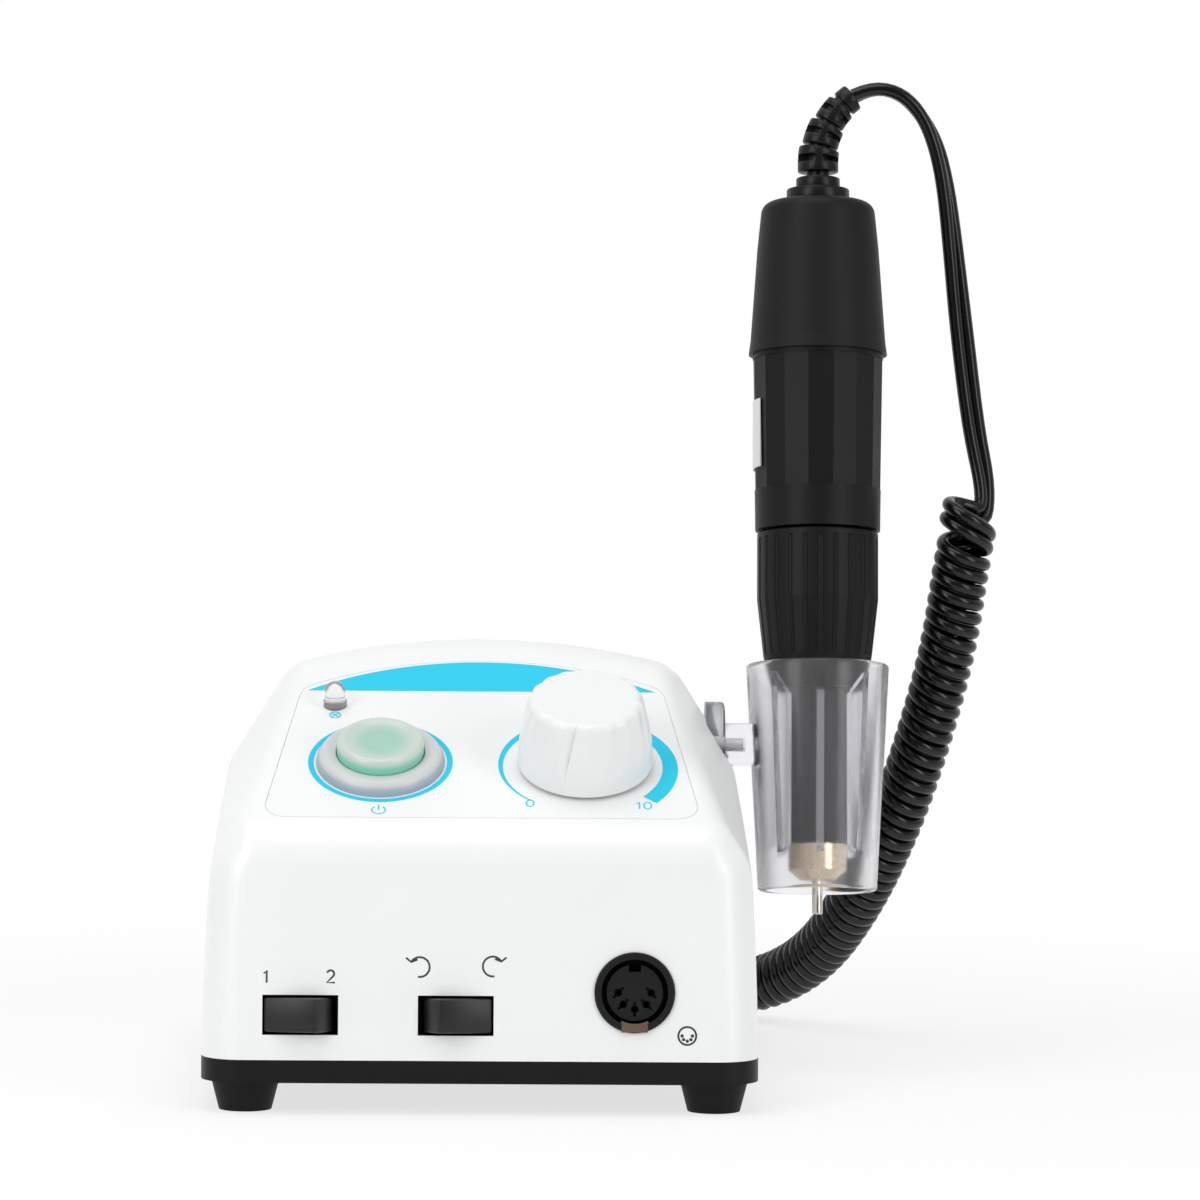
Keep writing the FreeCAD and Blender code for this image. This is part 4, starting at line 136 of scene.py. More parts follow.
# The room is a white studio. Its far wall is as bright as the paper, and the side behind the
# camera is dimmer, which gives the white housing its soft grey shades.
DIM_SIDE = 0.12
BRIGHT_SIDE = 0.95
world = bpy.data.worlds.new("white_room")
world.use_nodes = True
bpy.context.scene.world = world
room = world.node_tree
room.nodes.clear()
path_kind = add(room, "LightPath", {})
way = add(room, "TexCoord", {})
parts = add(room, "SeparateXYZ", {}, {0: way.outputs["Generated"]})
depth_of_room = add(
    room,
    "MapRange",
    {"From Min": -1.0, "From Max": 1.0, "To Min": DIM_SIDE, "To Max": BRIGHT_SIDE},
    {"Value": parts.outputs["Y"]},
)
shown = add(
    room,
    "Math",
    {"operation": "MAXIMUM"},
    {0: path_kind.outputs["Is Camera Ray"], 1: path_kind.outputs["Is Transmission Ray"]},
)
level = add(room, "Mix", {"data_type": "FLOAT", "B": 1.0}, {"Factor": shown, "A": depth_of_room})
light = add(room, "Background", {"Color": srgb("FFFFFF")}, {"Strength": level})
add(room, "OutputWorld", {}, {"Surface": light})


# Three softboxes light the machine from above and from both sides of the camera. Each is a lamp
# behind a white diffuser, larger than the machine, for soft reflections and a faint shadow.
def softbox(name, where, aim, width, height, power):
    """One lamp behind its diffuser, in metres and watts."""
    lamp = bpy.data.lights.new(name, "AREA")
    lamp.shape = "RECTANGLE"
    lamp.size = width
    lamp.size_y = height
    lamp.energy = power
    placed = bpy.data.objects.new(name, lamp)
    placed.location = where
    placed.rotation_euler = (Vector(aim) - Vector(where)).to_track_quat("-Z", "Y").to_euler()
    bpy.context.scene.collection.objects.link(placed)


softbox("lamp_above", (-0.15, -0.25, 1.1), (0, 0.02, 0.08), 0.9, 0.7, 4.2)
softbox("lamp_left", (-0.8, -0.9, 0.6), (0, 0.0, 0.1), 0.5, 0.9, 5.3)
softbox("lamp_right", (0.85, -0.85, 0.5), (0, 0.0, 0.1), 0.4, 0.9, 4.4)


# The camera has a long lens. It stands 1.4 m in front of the box and a little higher than its
# roof, tilted down by a few degrees and turned slightly to the handpiece's side.
MM = 0.001
tray_low, tray_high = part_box("base_tray")
front_edge = Vector(((tray_low.x + tray_high.x) / 2, tray_low.y, 0))


def place(x, y, z):
    """A point measured in millimetres from the middle of the box's front edge, at the table."""
    return front_edge + Vector((x, y, z)) * MM


LENS = 198.0
SENSOR = 36.0
EYE = (-0.6, -1392.4, 194.98)
PITCH = math.radians(-3.494)
TURN_RIGHT = math.radians(1.042)
ROLL = math.radians(0.45)
level_ahead = math.cos(PITCH)
view_ahead = Vector(
    (math.sin(TURN_RIGHT) * level_ahead, math.cos(TURN_RIGHT) * level_ahead, math.sin(PITCH))
)
lens_data = bpy.data.cameras.new("long_lens")
lens_data.lens = LENS
lens_data.sensor_width = SENSOR
camera = bpy.data.objects.new("long_lens", lens_data)
camera.location = place(*EYE)
camera.rotation_mode = "QUATERNION"
camera.rotation_quaternion = view_ahead.to_track_quat("-Z", "Y") @ Quaternion((0, 0, 1), ROLL)
bpy.context.scene.collection.objects.link(camera)
bpy.context.scene.camera = camera
bpy.context.scene.view_settings.view_transform = "Standard"


# The housing cover is one moulding in white ABS, a few shades off pure white. Its polished mould
# leaves a gloss with the faintest ripple, and sink marks too shallow to see but in reflections.
def dress(material, *names):
    """Gives CAD pieces their finish."""
    for name in names:
        for slot in frame["nodes"][name].material_slots:
            slot.material = material


def moulded(name, colour, shade, roughness, spread, ripple_mm, ripple_depth_mm, shine=0.5):
    """A moulded plastic or rubber, whose colour, gloss and surface vary over a real size."""
    material, tree = blank_material(name)
    spot = add(tree, "TexCoord", {}).outputs["Object"]
    ripple = add(
        tree,
        "TexNoise",
        {"Scale": 1000.0 / ripple_mm, "Detail": 4.0, "Roughness": 0.6},
        {"Vector": spot},
    )
    # Handling and flow in the mould change the gloss over about 30 mm
    flow = add(tree, "TexNoise", {"Scale": 33.0, "Detail": 2.0}, {"Vector": spot})
    tint = add(
        tree,
        "Mix",
        {"data_type": "RGBA", "A": srgb(colour), "B": srgb(shade)},
        {"Factor": flow.outputs[0]},
    )
    gloss = add(
        tree,
        "MapRange",
        {"To Min": roughness - spread, "To Max": roughness + spread},
        {"Value": flow.outputs[0]},
    )
    bump = add(
        tree,
        "Bump",
        {"Strength": 1.0, "Distance": ripple_depth_mm * MM},
        {"Height": ripple.outputs[0]},
    )
    skin = add(
        tree,
        "BsdfPrincipled",
        {"IOR": 1.5, "Specular IOR Level": shine},
        {"Base Color": tint.outputs["Result"], "Roughness": gloss, "Normal": bump},
    )
    add(tree, "OutputMaterial", {}, {"Surface": skin})
    return material


white_abs = moulded("white_moulded_abs", "F6F7F7", "F1F3F3", 0.30, 0.04, 6.0, 0.004)
dress(white_abs, "housing_cover")


# The tray is black ABS with a spark-eroded grain, the feet are soft black rubber, and the screws
# that hold tray and cover together are zinc-plated steel, deep in the feet.

# The grain makes the tray satin. It is really 0.2 mm, and is drawn at 0.5 mm so that it shows
black_abs = moulded("black_grained_abs", "0E0E0F", "121213", 0.40, 0.05, 0.5, 0.006, 0.2)
dress(black_abs, "base_tray")
# Rubber is duller, with a rougher skin
foot_rubber = moulded("black_foot_rubber", "0D0D0D", "121212", 0.55, 0.06, 0.8, 0.02, 0.2)
dress(foot_rubber, "rubber_feet")


def metal(name, colour, roughness, streak_mm, across):
    """A plated, turned or rolled metal, with fine streaks along one way."""
    material, tree = blank_material(name)
    spot = add(tree, "TexCoord", {}).outputs["Object"]
    # Tool marks are under 0.1 mm apart, and are drawn some 0.3 mm apart so that they show
    stretch = [1000.0 / streak_mm if axis in across else 60.0 for axis in "XYZ"]
    laid = add(tree, "Mapping", {"Scale": stretch}, {"Vector": spot})
    streaks = add(tree, "TexNoise", {"Scale": 1.0, "Detail": 3.0}, {"Vector": laid})
    gloss = add(
        tree,
        "MapRange",
        {"To Min": roughness * 0.7, "To Max": roughness * 1.4},
        {"Value": streaks.outputs[0]},
    )
    bump = add(tree, "Bump", {"Strength": 0.4, "Distance": 0.00001}, {"Height": streaks.outputs[0]})
    skin = add(
        tree,
        "BsdfPrincipled",
        {"Base Color": srgb(colour), "Metallic": 1.0},
        {"Roughness": gloss, "Normal": bump},
    )
    add(tree, "OutputMaterial", {}, {"Surface": skin})
    return material


# Zinc plate is a cool bright grey, with a satin grain
zinc = metal("zinc_plated_steel", "BFC1C2", 0.3, 0.4, "XY")
dress(zinc, "case_screws", "chassis_screws")


# The panel's overlay is a matt white polyester film, screen-printed in light blue: an arched band
# at the top, a ring round the button and a scale that widens round the knob from low to high.
# The film is matt and shows no lamp, so that the blue print stands out on it
film = moulded("matt_polyester_film", "F4F5F5", "F0F2F2", 0.42, 0.03, 0.6, 0.003)
dress(film, "panel_overlay")

joints = {joint["name"]: joint for joint in frame["joints"]}


def along(direction, sideways):
    """A turn that points Z along a direction, with X as near as it goes to another."""
    z = Vector(direction).normalized()
    y = z.cross(Vector(sideways)).normalized()
    return Matrix((y.cross(z), y, z)).transposed().to_4x4()


panel_normal = -Vector(joints["speed_knob_turn"]["axis"])
knob_at = Vector(joints["speed_knob_turn"]["pos_m"])
panel_turn = along(panel_normal, (1, 0, 0))
KNOB_X = 22.3
KNOB_S = 23.8
knob_on_panel = Matrix.Translation((KNOB_X * MM, KNOB_S * MM, 0))
panel = Matrix.Translation(knob_at) @ panel_turn @ knob_on_panel.inverted()


def piece(name, points, faces, at, body, slot, material, edge_mm=0):
    """A mesh, in millimetres in its own frame, put on a body of the machine."""
    mesh = bpy.data.meshes.new(name)
    mesh.from_pydata([at @ (Vector(point) * MM) for point in points], [], faces)
    mesh.validate()
    skin = bmesh.new()
    skin.from_mesh(mesh)
    bmesh.ops.recalc_face_normals(skin, faces=skin.faces)
    if edge_mm:
        bmesh.ops.bevel(
            skin,
            geom=list(skin.edges),
            offset=edge_mm * MM,
            segments=3,
            profile=0.5,
            affect="EDGES",
        )
    skin.to_mesh(mesh)
    skin.free()
    mesh.shade_smooth()
    # The flats between bevelled edges stay flat, and all other shapes are smooth to 40 degrees
    mesh.set_sharp_from_angle(angle=math.radians(15 if edge_mm else 40))
    mesh.materials.append(material)
    made = bpy.data.objects.new(name, mesh)
    bpy.context.scene.collection.objects.link(made)
    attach(made, body)
    return made


def printed_ink(name, colour):
    """Screen ink on film: flat, a little less glossy than the film, with pale pinholes."""
    material, tree = blank_material(name)
    spot = add(tree, "TexCoord", {}).outputs["Object"]
    # The weave of the screen is 0.1 mm, and is drawn at 0.4 mm so that it shows
    mesh_marks = add(tree, "TexNoise", {"Scale": 2500.0, "Detail": 2.0}, {"Vector": spot})
    tint = add(
        tree,
        "Mix",
        {"data_type": "RGBA", "A": srgb(colour), "B": srgb("FFFFFF")},
        {"Factor": add(tree, "MapRange", {"To Max": 0.04}, {"Value": mesh_marks.outputs[0]})},
    )
    skin = add(
        tree,
        "BsdfPrincipled",
        {"Specular IOR Level": 0.15, "Roughness": 0.45},
        {"Base Color": tint.outputs[2]},
    )
    add(tree, "OutputMaterial", {}, {"Surface": skin})
    return material


blue_ink = printed_ink("light_blue_screen_ink", "0CCBEB")
INK_LIFT = 0.03
BAND_X = -0.2
BAND_CHORD = 52.4
BAND_HALF = 38.2
BAND_TOP = 64.3
BUTTON_X = -21.9
BUTTON_S = 24.0
RING_RADII = (14.4, 15.65)
SCALE_X = 21.8
SCALE_S = 22.6
SCALE_RADIUS = 17.25
SCALE_WIDTHS = (0.35, 3.85)
SCALE_ENDS = (-129.5, -402.0)
SCALE_STEPS = 90


def strip(first, second):
    """Points and faces of a flat strip between two lines of as many points."""
    points = [(x, y, INK_LIFT) for x, y in [*first, *second]]
    n = len(first)
    return points, [(i, i + 1, n + i + 1, n + i) for i in range(n - 1)]


def print_on_panel(name, first, second):
    """A blue field of ink between two lines, just above the panel's film."""
    return piece(name, *strip(first, second), panel, "control_box", "panel_film", blue_ink)


def arc(x, y, radius, start, end, steps):
    """Points on an arc round (x, y), from one angle to another in degrees."""
    angles = [math.radians(start + (end - start) * n / steps) for n in range(steps + 1)]
    return [(x + radius * math.cos(a), y + radius * math.sin(a)) for a in angles]


rise = BAND_TOP - BAND_CHORD
band_radius = (BAND_HALF**2 + rise**2) / (2 * rise)
half_angle = math.degrees(math.asin(BAND_HALF / band_radius))
crown = arc(BAND_X, BAND_TOP - band_radius, band_radius, 90 + half_angle, 90 - half_angle, 60)
print_on_panel("printed_band", crown, [(x, BAND_CHORD) for x, _ in crown])
ring_edges = [arc(BUTTON_X, BUTTON_S, radius, 0, 360, 96) for radius in RING_RADII]
print_on_panel("printed_button_ring", *ring_edges)
inner = arc(SCALE_X, SCALE_S, SCALE_RADIUS, *SCALE_ENDS, SCALE_STEPS)
outer = []
for n, (x, y) in enumerate(inner):
    width = SCALE_WIDTHS[0] + (SCALE_WIDTHS[1] - SCALE_WIDTHS[0]) * n / SCALE_STEPS
    grow = 1 + width / SCALE_RADIUS
    outer.append((SCALE_X + (x - SCALE_X) * grow, SCALE_S + (y - SCALE_S) * grow))
print_on_panel("printed_scale", inner, outer)


# Small signs are screen-printed in blue on the panel's film, and pad-printed in dark grey on the
# front wall: plain numbers, curved arrows, and the usual signs for power, a lamp and a socket.
PANEL_PEN = 0.34
WALL_PEN = 0.42


def stroke(line, width):
    """The two edges of a line drawn with a round pen."""
    edges = ([], [])
    for n, (x, y) in enumerate(line):
        before, after = line[max(n - 1, 0)], line[min(n + 1, len(line) - 1)]
        if line[0] == line[-1] and n in (0, len(line) - 1):
            before, after = line[-2], line[1]
        way = Vector((after[0] - before[0], after[1] - before[1])).normalized() * width / 2
        edges[0].append((x - way.y, y + way.x))
        edges[1].append((x + way.y, y - way.x))
    return edges


def sign(name, lines, width, x, y, at, slot, ink):
    """One small sign from the lines that it is drawn with, about its own middle."""
    points = []
    faces = []
    for line in lines:
        edges = stroke([(x + dx, y + dy) for dx, dy in line], width)
        more_points, more_faces = strip(*edges)
        faces += [tuple(n + len(points) for n in face) for face in more_faces]
        points += more_points
    return piece(name, points, faces, at, "control_box", slot, ink)


def arrow(direction):
    """An open circle that turns into an arrow head, to the left or the right."""
    ring = [(direction * dx, dy) for dx, dy in arc(0, 0, 2.1, -100, 150, 32)]
    tip = ring[-1]
    head = ((-1.1, 0.9), (0, 0), (1.35, 0.55))
    barbs = [(tip[0] + direction * dx, tip[1] + dy) for dx, dy in head]
    return [ring, barbs]


def dot(x, y):
    """One contact in the sign of the socket."""
    return arc(x, y, 0.16, 0, 360, 10)


ONE = [[(-0.6, 0.7), (0.05, 1.3), (0.05, -1.3)]]
ZERO = [[(0.62 * dx, dy) for dx, dy in arc(0, 0, 1.3, 0, 360, 32)]]
TWO = [arc(0, 0.55, 0.75, 165, -30, 14) + [(-0.8, -1.3), (0.9, -1.3)]]
TEN = [[(x - 0.85, y) for x, y in ONE[0]], [(x + 0.95, y) for x, y in ZERO[0]]]
POWER = [arc(0, 0, 1.45, 125, 415, 32), [(0, 0.1), (0, 1.9)]]
LAMP = [arc(0, 0, 1.15, 0, 360, 32), [(-0.8, -0.8), (0.8, 0.8)], [(-0.8, 0.8), (0.8, -0.8)]]
SOCKET = [arc(0, 0, 1.9, 0, 360, 40)] + [dot(*spot) for spot in arc(0, 0, 1.1, 180, 360, 4)]
for name, lines, x, y in (
    ("printed_power_sign", POWER, -22.0, 5.3),
    ("printed_lamp_sign", LAMP, -32.1, 42.5),
    ("printed_lowest_speed", ZERO, 10.4, 8.2),
    ("printed_highest_speed", TEN, 34.6, 7.6),
):
    sign(name, lines, PANEL_PEN, x, y, panel, "panel_film", blue_ink)

FRONT_LEAN = math.radians(5.0)
WALL_FOOT = 11.7
front_normal = (0, -math.cos(FRONT_LEAN), math.sin(FRONT_LEAN))
front_wall = Matrix.Translation(place(0, 0, WALL_FOOT)) @ along(front_normal, (1, 0, 0))
dark_grey_ink = printed_ink("dark_grey_pad_ink", "3A3A3D")
for name, lines, x, y in (
    ("printed_mode_one", ONE, -45.4, 17.7),
    ("printed_mode_two", TWO, -31.8, 17.8),
    ("printed_turn_left", arrow(1), -12.9, 19.9),
    ("printed_turn_right", arrow(-1), 2.6, 20.1),
    ("printed_socket_sign", SOCKET, 44.0, 5.6),
):
    sign(name, lines, WALL_PEN, x, y, front_wall, "white_housing", dark_grey_ink)


# The overload lamp is a 5 mm light-emitting diode, cast in epoxy that is slightly milky, with a
# flange at its foot that the panel holds down. Unlit, it is clear on top, and its foot is painted a
# darker brown as shade from its hole.
def clear_plastic(name, colour, clearness, roughness, ior, ripple_mm, ripple_depth_mm):
    """A clear or milky moulding, whose surface blurs what is behind it."""
    material, tree = blank_material(name)
    spot = add(tree, "TexCoord", {}).outputs["Object"]
    ripple = add(tree, "TexNoise", {"Scale": 1000.0 / ripple_mm, "Detail": 2.0}, {"Vector": spot})
    gloss = add(
        tree,
        "MapRange",
        {"To Min": roughness * 0.85, "To Max": roughness * 1.15},
        {"Value": ripple.outputs[0]},
    )
    bump = add(
        tree,
        "Bump",
        {"Strength": 1.0, "Distance": ripple_depth_mm * MM},
        {"Height": ripple.outputs[0]},
    )
    skin = add(
        tree,
        "BsdfPrincipled",
        {"Base Color": srgb(colour), "IOR": ior, "Transmission Weight": clearness},
        {"Roughness": gloss, "Normal": bump},
    )
    add(tree, "OutputMaterial", {}, {"Surface": skin})
    return material


def tinted(material, colour, share, start_mm, end_mm, centre=None):
    """Another colour low on a piece of the panel, or round a point that shines through it."""
    tree = material.node_tree
    skin = tree.nodes["Principled BSDF"]
    spot = add(tree, "TexCoord", {}).outputs["Object"]
    if centre:
        reach = add(tree, "VectorMath", {"operation": "DISTANCE", 1: centre}, {0: spot})
        foot = 0.0
    else:
        reach = add(tree, "VectorMath", {"operation": "DOT_PRODUCT", 1: panel_normal}, {0: spot})
        foot = panel.translation.dot(panel_normal)
    fade = add(
        tree,
        "MapRange",
        {
            "interpolation_type": "SMOOTHSTEP",
            "From Min": foot + start_mm * MM,
            "From Max": foot + end_mm * MM,
            "To Min": share,
            "To Max": 0.0,
        },
        {"Value": reach.outputs["Value"]},
    )
    mixed = add(
        tree,
        "Mix",
        {"data_type": "RGBA", "A": skin.inputs["Base Color"].default_value, "B": srgb(colour)},
        {"Factor": fade},
    )
    if skin.inputs["Base Color"].links:
        tree.links.new(skin.inputs["Base Color"].links[0].from_socket, mixed.inputs["A"])
    tree.links.new(mixed.outputs["Result"], skin.inputs["Base Color"])


milky_epoxy = clear_plastic("milky_cast_epoxy", "FFFFFF", 0.8, 0.06, 1.35, 2.0, 0.0005)
# Painted shade: the lamp's foot is tinted a darker brown, where its hole in the panel shades it
tinted(milky_epoxy, "BDB4AD", 0.8, 0.2, 0.9)
dress(milky_epoxy, "overload_lamp")


# The power button: a domed collar of frosted grey polycarbonate snapped into the panel, a milky cap
# with a dished top, and the green core of the switch, which shines through the cap's lower half.
COLLAR_OUTLINE = (
    (9.55, -6.0),
    (9.55, 2.8, 0.3),
    (12.5, 2.85, 1.6),
    (13.8, 0.9, 0.8),
    (13.95, 0.0, 0),
    (12.4, -0.01, 0),
    (12.4, -6.0),
)
CAP_OUTLINE = (
    (0.001, 4.4),
    (7.8, 4.4, 0.4),
    (7.8, -7.0, 0),
    (9.4, -7.0, 0),
    (9.4, 6.0, 1.4),
    (7.7, 6.0, 0.25),
    (6.7, 5.5, 0.8),
    (0.001, 5.4),
)
BUTTON_STEPS = 96


def tube(rings):
    """Points and faces of a skin through rings of as many points, one after another."""
    count = len(rings[0])
    points = [point for ring in rings for point in ring]
    faces = [
        (row + n, row + count + n, row + count + (n + 1) % count, row + (n + 1) % count)
        for row in range(0, count * (len(rings) - 1), count)
        for n in range(count)
    ]
    return points, faces


def turned(name, outline, steps, at, body, slot, material):
    """A turned shape from its outline of (radius, height) points, from the middle outwards."""
    turns = [math.tau * n / steps for n in range(steps)]
    rings = [[(r * math.cos(a), r * math.sin(a), z) for a in turns] for r, z in outline]
    return piece(name, *tube(rings), at, body, slot, material)


def eased(corners, steps=4):
    """An outline whose corners are rounded: each middle corner is (r, z, radius)."""
    made = [corners[0][:2]]
    for before, corner, after in zip(corners, corners[1:], corners[2:]):
        x, z, radius = corner
        if radius <= 0:
            made.append((x, z))
            continue
        u = Vector((before[0] - x, before[1] - z)).normalized()
        v = Vector((after[0] - x, after[1] - z)).normalized()
        half = u.angle(v) / 2
        trim = radius / math.tan(half)
        centre = Vector((x, z)) + (u + v).normalized() * (radius / math.sin(half))
        start = Vector((x, z)) + u * trim - centre
        end = Vector((x, z)) + v * trim - centre
        for n in range(steps + 1):
            spoke = start.normalized().slerp(end.normalized(), n / steps)
            made.append(tuple(centre + spoke * radius))
    made.append(corners[-1][:2])
    return made


button_frame = panel @ Matrix.Translation((BUTTON_X * MM, BUTTON_S * MM, 0))
# The collar's frosting scatters the light, so that only its grey shows, bluer towards the film
frosted_grey = clear_plastic("frosted_grey_polycarbonate", "D0D2D2", 0.0, 0.34, 1.5, 2.0, 0.0002)
tinted(frosted_grey, "A3B0BB", 1.0, 1.2, 2.3)
collar = turned(
    "button_collar",
    eased(COLLAR_OUTLINE),
    BUTTON_STEPS,
    button_frame,
    "control_box",
    "white_button",
    frosted_grey,
)
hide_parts("power_button_collar")
# The cap is glossier, and the green core behind it shows as a wash in the middle and at the foot
milky = clear_plastic("milky_polycarbonate", "C9D5CC", 0.0, 0.22, 1.5, 2.0, 0.0002)
core_shines = (button_frame @ Matrix.Translation((0, 0, 5.0 * MM))).translation
tinted(milky, "9DCBB8", 0.9, 3.5, 8.0, core_shines)
tinted(milky, "84D2B9", 1.0, 3.9, 5.4)
cap = turned(
    "button_cap",
    eased(CAP_OUTLINE),
    BUTTON_STEPS,
    button_frame,
    "button",
    "white_button",
    milky,
)
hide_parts("power_button_cap")
# The core's nylon is a clear green and half matt
green_plastic = moulded("green_moulded_nylon", "3FBF98", "35B08C", 0.4, 0.05, 1.0, 0.004)
dress(green_plastic, "power_button_core")
# The switch bodies and the fittings of the back wall are plain black nylon, satin from the mould
black_nylon = moulded("black_moulded_nylon", "151516", "1A1A1B", 0.42, 0.06, 0.7, 0.004, 0.25)
dress(black_nylon, "power_switch_body", "mode_switch_body", "direction_switch_body")
dress(black_nylon, "mains_inlet", "fuse_holder", "pedal_jack", "fuse_cap")


# The speed knob is a hollow white ABS moulding: a blunt cone with a soft shoulder, hollow finger
# grips that fade out down its side, and a crease that points to the scale.
KNOB_RADIUS = 14.5
KNOB_TOP_RADIUS = 12.2
KNOB_HEIGHT = 16.9
KNOB_FOOT = 0.8
KNOB_STEPS = 720
KNOB_BORE = 3.0
KNOB_GRIPS = 18
KNOB_GRIP_DEPTH = 0.36
GRIP_FOOT = 4.0
SHOULDER_RADIUS = 9.0
SHOULDER_WIDTH = 2.0
POINTER_ANGLES = (-106.3, -114.0)
POINTER_FOOT = 4.5
POINTER_FADE = 5.0
POINTER_HALF = 1.3
POINTER_DEPTH = 0.8


def knob_depth(angle, height, radius):
    """How far the knob's side is sunk at a place, by a finger grip or by the crease."""
    up = max(0.0, min(1.0, (height - GRIP_FOOT) / (KNOB_HEIGHT - GRIP_FOOT)))
    pointer = math.radians(POINTER_ANGLES[1] + (POINTER_ANGLES[0] - POINTER_ANGLES[1]) * up)
    off = (angle - pointer + math.pi) % math.tau - math.pi
    share = off / math.tau * KNOB_GRIPS % 1.0
    sunk = KNOB_GRIP_DEPTH * math.sin(math.pi * share) ** 2 * up**0.7
    across = off * radius / POINTER_HALF
    if -1 < across < 1 and height > POINTER_FOOT:
        # The crease is a slope that ends in a small step on its right side
        slope = min((across + 1) / 1.9, (1 - across) / 0.1)
        sunk = max(sunk, POINTER_DEPTH * slope * min(1.0, (height - POINTER_FOOT) / POINTER_FADE))
    return sunk


def knob_rings():
    """Rings from the middle of the knob's top, down its side and up again inside to its bore."""
    turns = [math.tau * n / KNOB_STEPS for n in range(KNOB_STEPS)]
    side = eased(
        [
            (0.001, KNOB_HEIGHT + 0.1),
            (KNOB_TOP_RADIUS, KNOB_HEIGHT, 1.9),
            (KNOB_RADIUS - 0.05, 7.0, 28.0),
            (KNOB_RADIUS, KNOB_FOOT),
        ],
        10,
    )
    outline = []
    for (r0, z0), (r1, z1) in zip(side, side[1:]):
        cuts = max(1, int(math.hypot(r1 - r0, z1 - z0) / 0.5))
        outline += [(r0 + (r1 - r0) * n / cuts, z0 + (z1 - z0) * n / cuts) for n in range(cuts)]
    rings = []
    for radius, height in [*outline, side[-1]]:
        shoulder = max(0.0, min(1.0, (radius - SHOULDER_RADIUS) / SHOULDER_WIDTH))
        ring = []
        for angle in turns:
            r = radius - knob_depth(angle, height, radius) * shoulder
            ring.append((r * math.cos(angle), r * math.sin(angle), height))
        rings.append(ring)
    for radius, height in (
        (KNOB_RADIUS - 1.6, KNOB_FOOT),
        (KNOB_RADIUS - 1.8, 5.0),
        (KNOB_TOP_RADIUS - 2.6, 12.5),
        (KNOB_BORE, 12.6),
    ):
        rings.append([(radius * math.cos(a), radius * math.sin(a), height) for a in turns])
    return rings


knob_frame = panel @ knob_on_panel
# The knob is polished a little more than the cover, and is a shade greyer
knob_white = moulded("white_knob_abs", "F1F2F2", "EDEFEF", 0.26, 0.03, 5.0, 0.003)
knob = piece("finger_knob", *tube(knob_rings()), knob_frame, "knob", "knob_plastic", knob_white)
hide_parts("speed_knob")


# The potentiometer is crimped from nickel-plated brass, and its nut holds it to the panel under
# the knob. The jack's nut, the inlet's blades and the plug's shell have the same bright plating.
# Nickel is a warm silver, bright along fine turning marks
nickel = metal("nickel_plated_brass", "C8C4BC", 0.25, 0.3, "XY")
dress(nickel, "potentiometer_body", "potentiometer_nut", "potentiometer_shaft", "jack_nut")
dress(nickel, "inlet_pins", "plug_pins", "plug_shell")


# Two rocker switches in black nylon, each in its own snap-in body in the front wall. The rocker is
# a blunt wedge with soft edges, and a dark gap shows round it in its opening.
ROCKER_TURN = 19.0
ROCKER_HALF_HEIGHT = 3.65
ROCKER_EDGE = 0.55
ROCKER_OUTLINE = (
    (-6.0, 6.1),
    (6.0, 6.1),
    (6.9, 2.0),
    (6.9, -2.5),
    (0.0, -4.5),
    (-6.9, -2.5),
    (-6.9, 2.0),
)
# The rockers are polished, so that their fronts catch the lamps
rocker_black = moulded("black_rocker_nylon", "171718", "1C1C1D", 0.36, 0.05, 0.6, 0.004, 0.4)
for node, body, joint, rest in (
    ("mode_rocker", "mode_switch", "mode_toggle", -ROCKER_TURN),
    ("direction_rocker", "direction_switch", "direction_toggle", ROCKER_TURN),
):
    pin = Matrix.Translation(joints[joint]["pos_m"]) @ along(front_normal, (1, 0, 0))
    at = pin @ Matrix.Rotation(math.radians(rest), 4, "Y")
    points, faces = tube(
        [
            [(x, y, z) for x, z in ROCKER_OUTLINE]
            for y in (-ROCKER_HALF_HEIGHT, ROCKER_HALF_HEIGHT)
        ]
    )
    corners = len(ROCKER_OUTLINE)
    faces += [tuple(range(corners)), tuple(range(2 * corners - 1, corners - 1, -1))]
    name = body + "_paddle"
    paddle = piece(name, points, faces, at, body, "black_switch", rocker_black, ROCKER_EDGE)
    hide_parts(node)


# The motor socket is a 5-pin one, pressed into the front wall: a black nylon shell and insert,
# dull brass contact sleeves deep in its holes, and a tinned bronze strip for the plug's shell.
dress(black_nylon, "motor_socket_shell", "motor_socket_insert")
# The tin is thin, and the bronze shows through it as a dull brown
bronze = metal("tinned_bronze", "8C7363", 0.4, 0.3, "XY")
dress(bronze, "motor_socket_shield")
# The sleeves are painted dark brown as painted shade deep in their holes, and hardly shine
shade_dark_brass = metal("contact_brass_painted_shade", "2E2823", 0.5, 0.3, "XY")
dress(shade_dark_brass, "motor_socket_contacts")


# Inside the box, a board of green glass-epoxy laminate stands on the tray with its parts soldered
# on, and the transformer's steel core and taped winding are clamped down beside it.
# The laminate is dark green and glossy, over a weave that ripples it
laminate = moulded("green_epoxy_laminate", "1F5A3A", "2A6B45", 0.35, 0.05, 1.2, 0.01)
dress(laminate, "control_board")
# The capacitors are wrapped in shrunk film, smooth and glossy
sleeve_film = moulded("black_capacitor_sleeve", "22242A", "2A2D36", 0.3, 0.05, 2.0, 0.004)
dress(sleeve_film, "filter_capacitors")
# Extruded aluminium keeps the straight lines of its die
aluminium = metal("extruded_aluminium", "C3C6C9", 0.38, 0.5, "XZ")
dress(aluminium, "heat_sink")
# The transistor's moulded epoxy is a dull black
epoxy_black = moulded("black_moulded_epoxy", "17171A", "1E1E21", 0.5, 0.05, 0.5, 0.005)
dress(epoxy_black, "power_transistor")
# The edges of the stacked sheets show as fine lines across the core
core_steel = metal("laminated_silicon_steel", "6C6E72", 0.45, 0.5, "Y")
dress(core_steel, "transformer_core", "transformer_clamp", "armature")
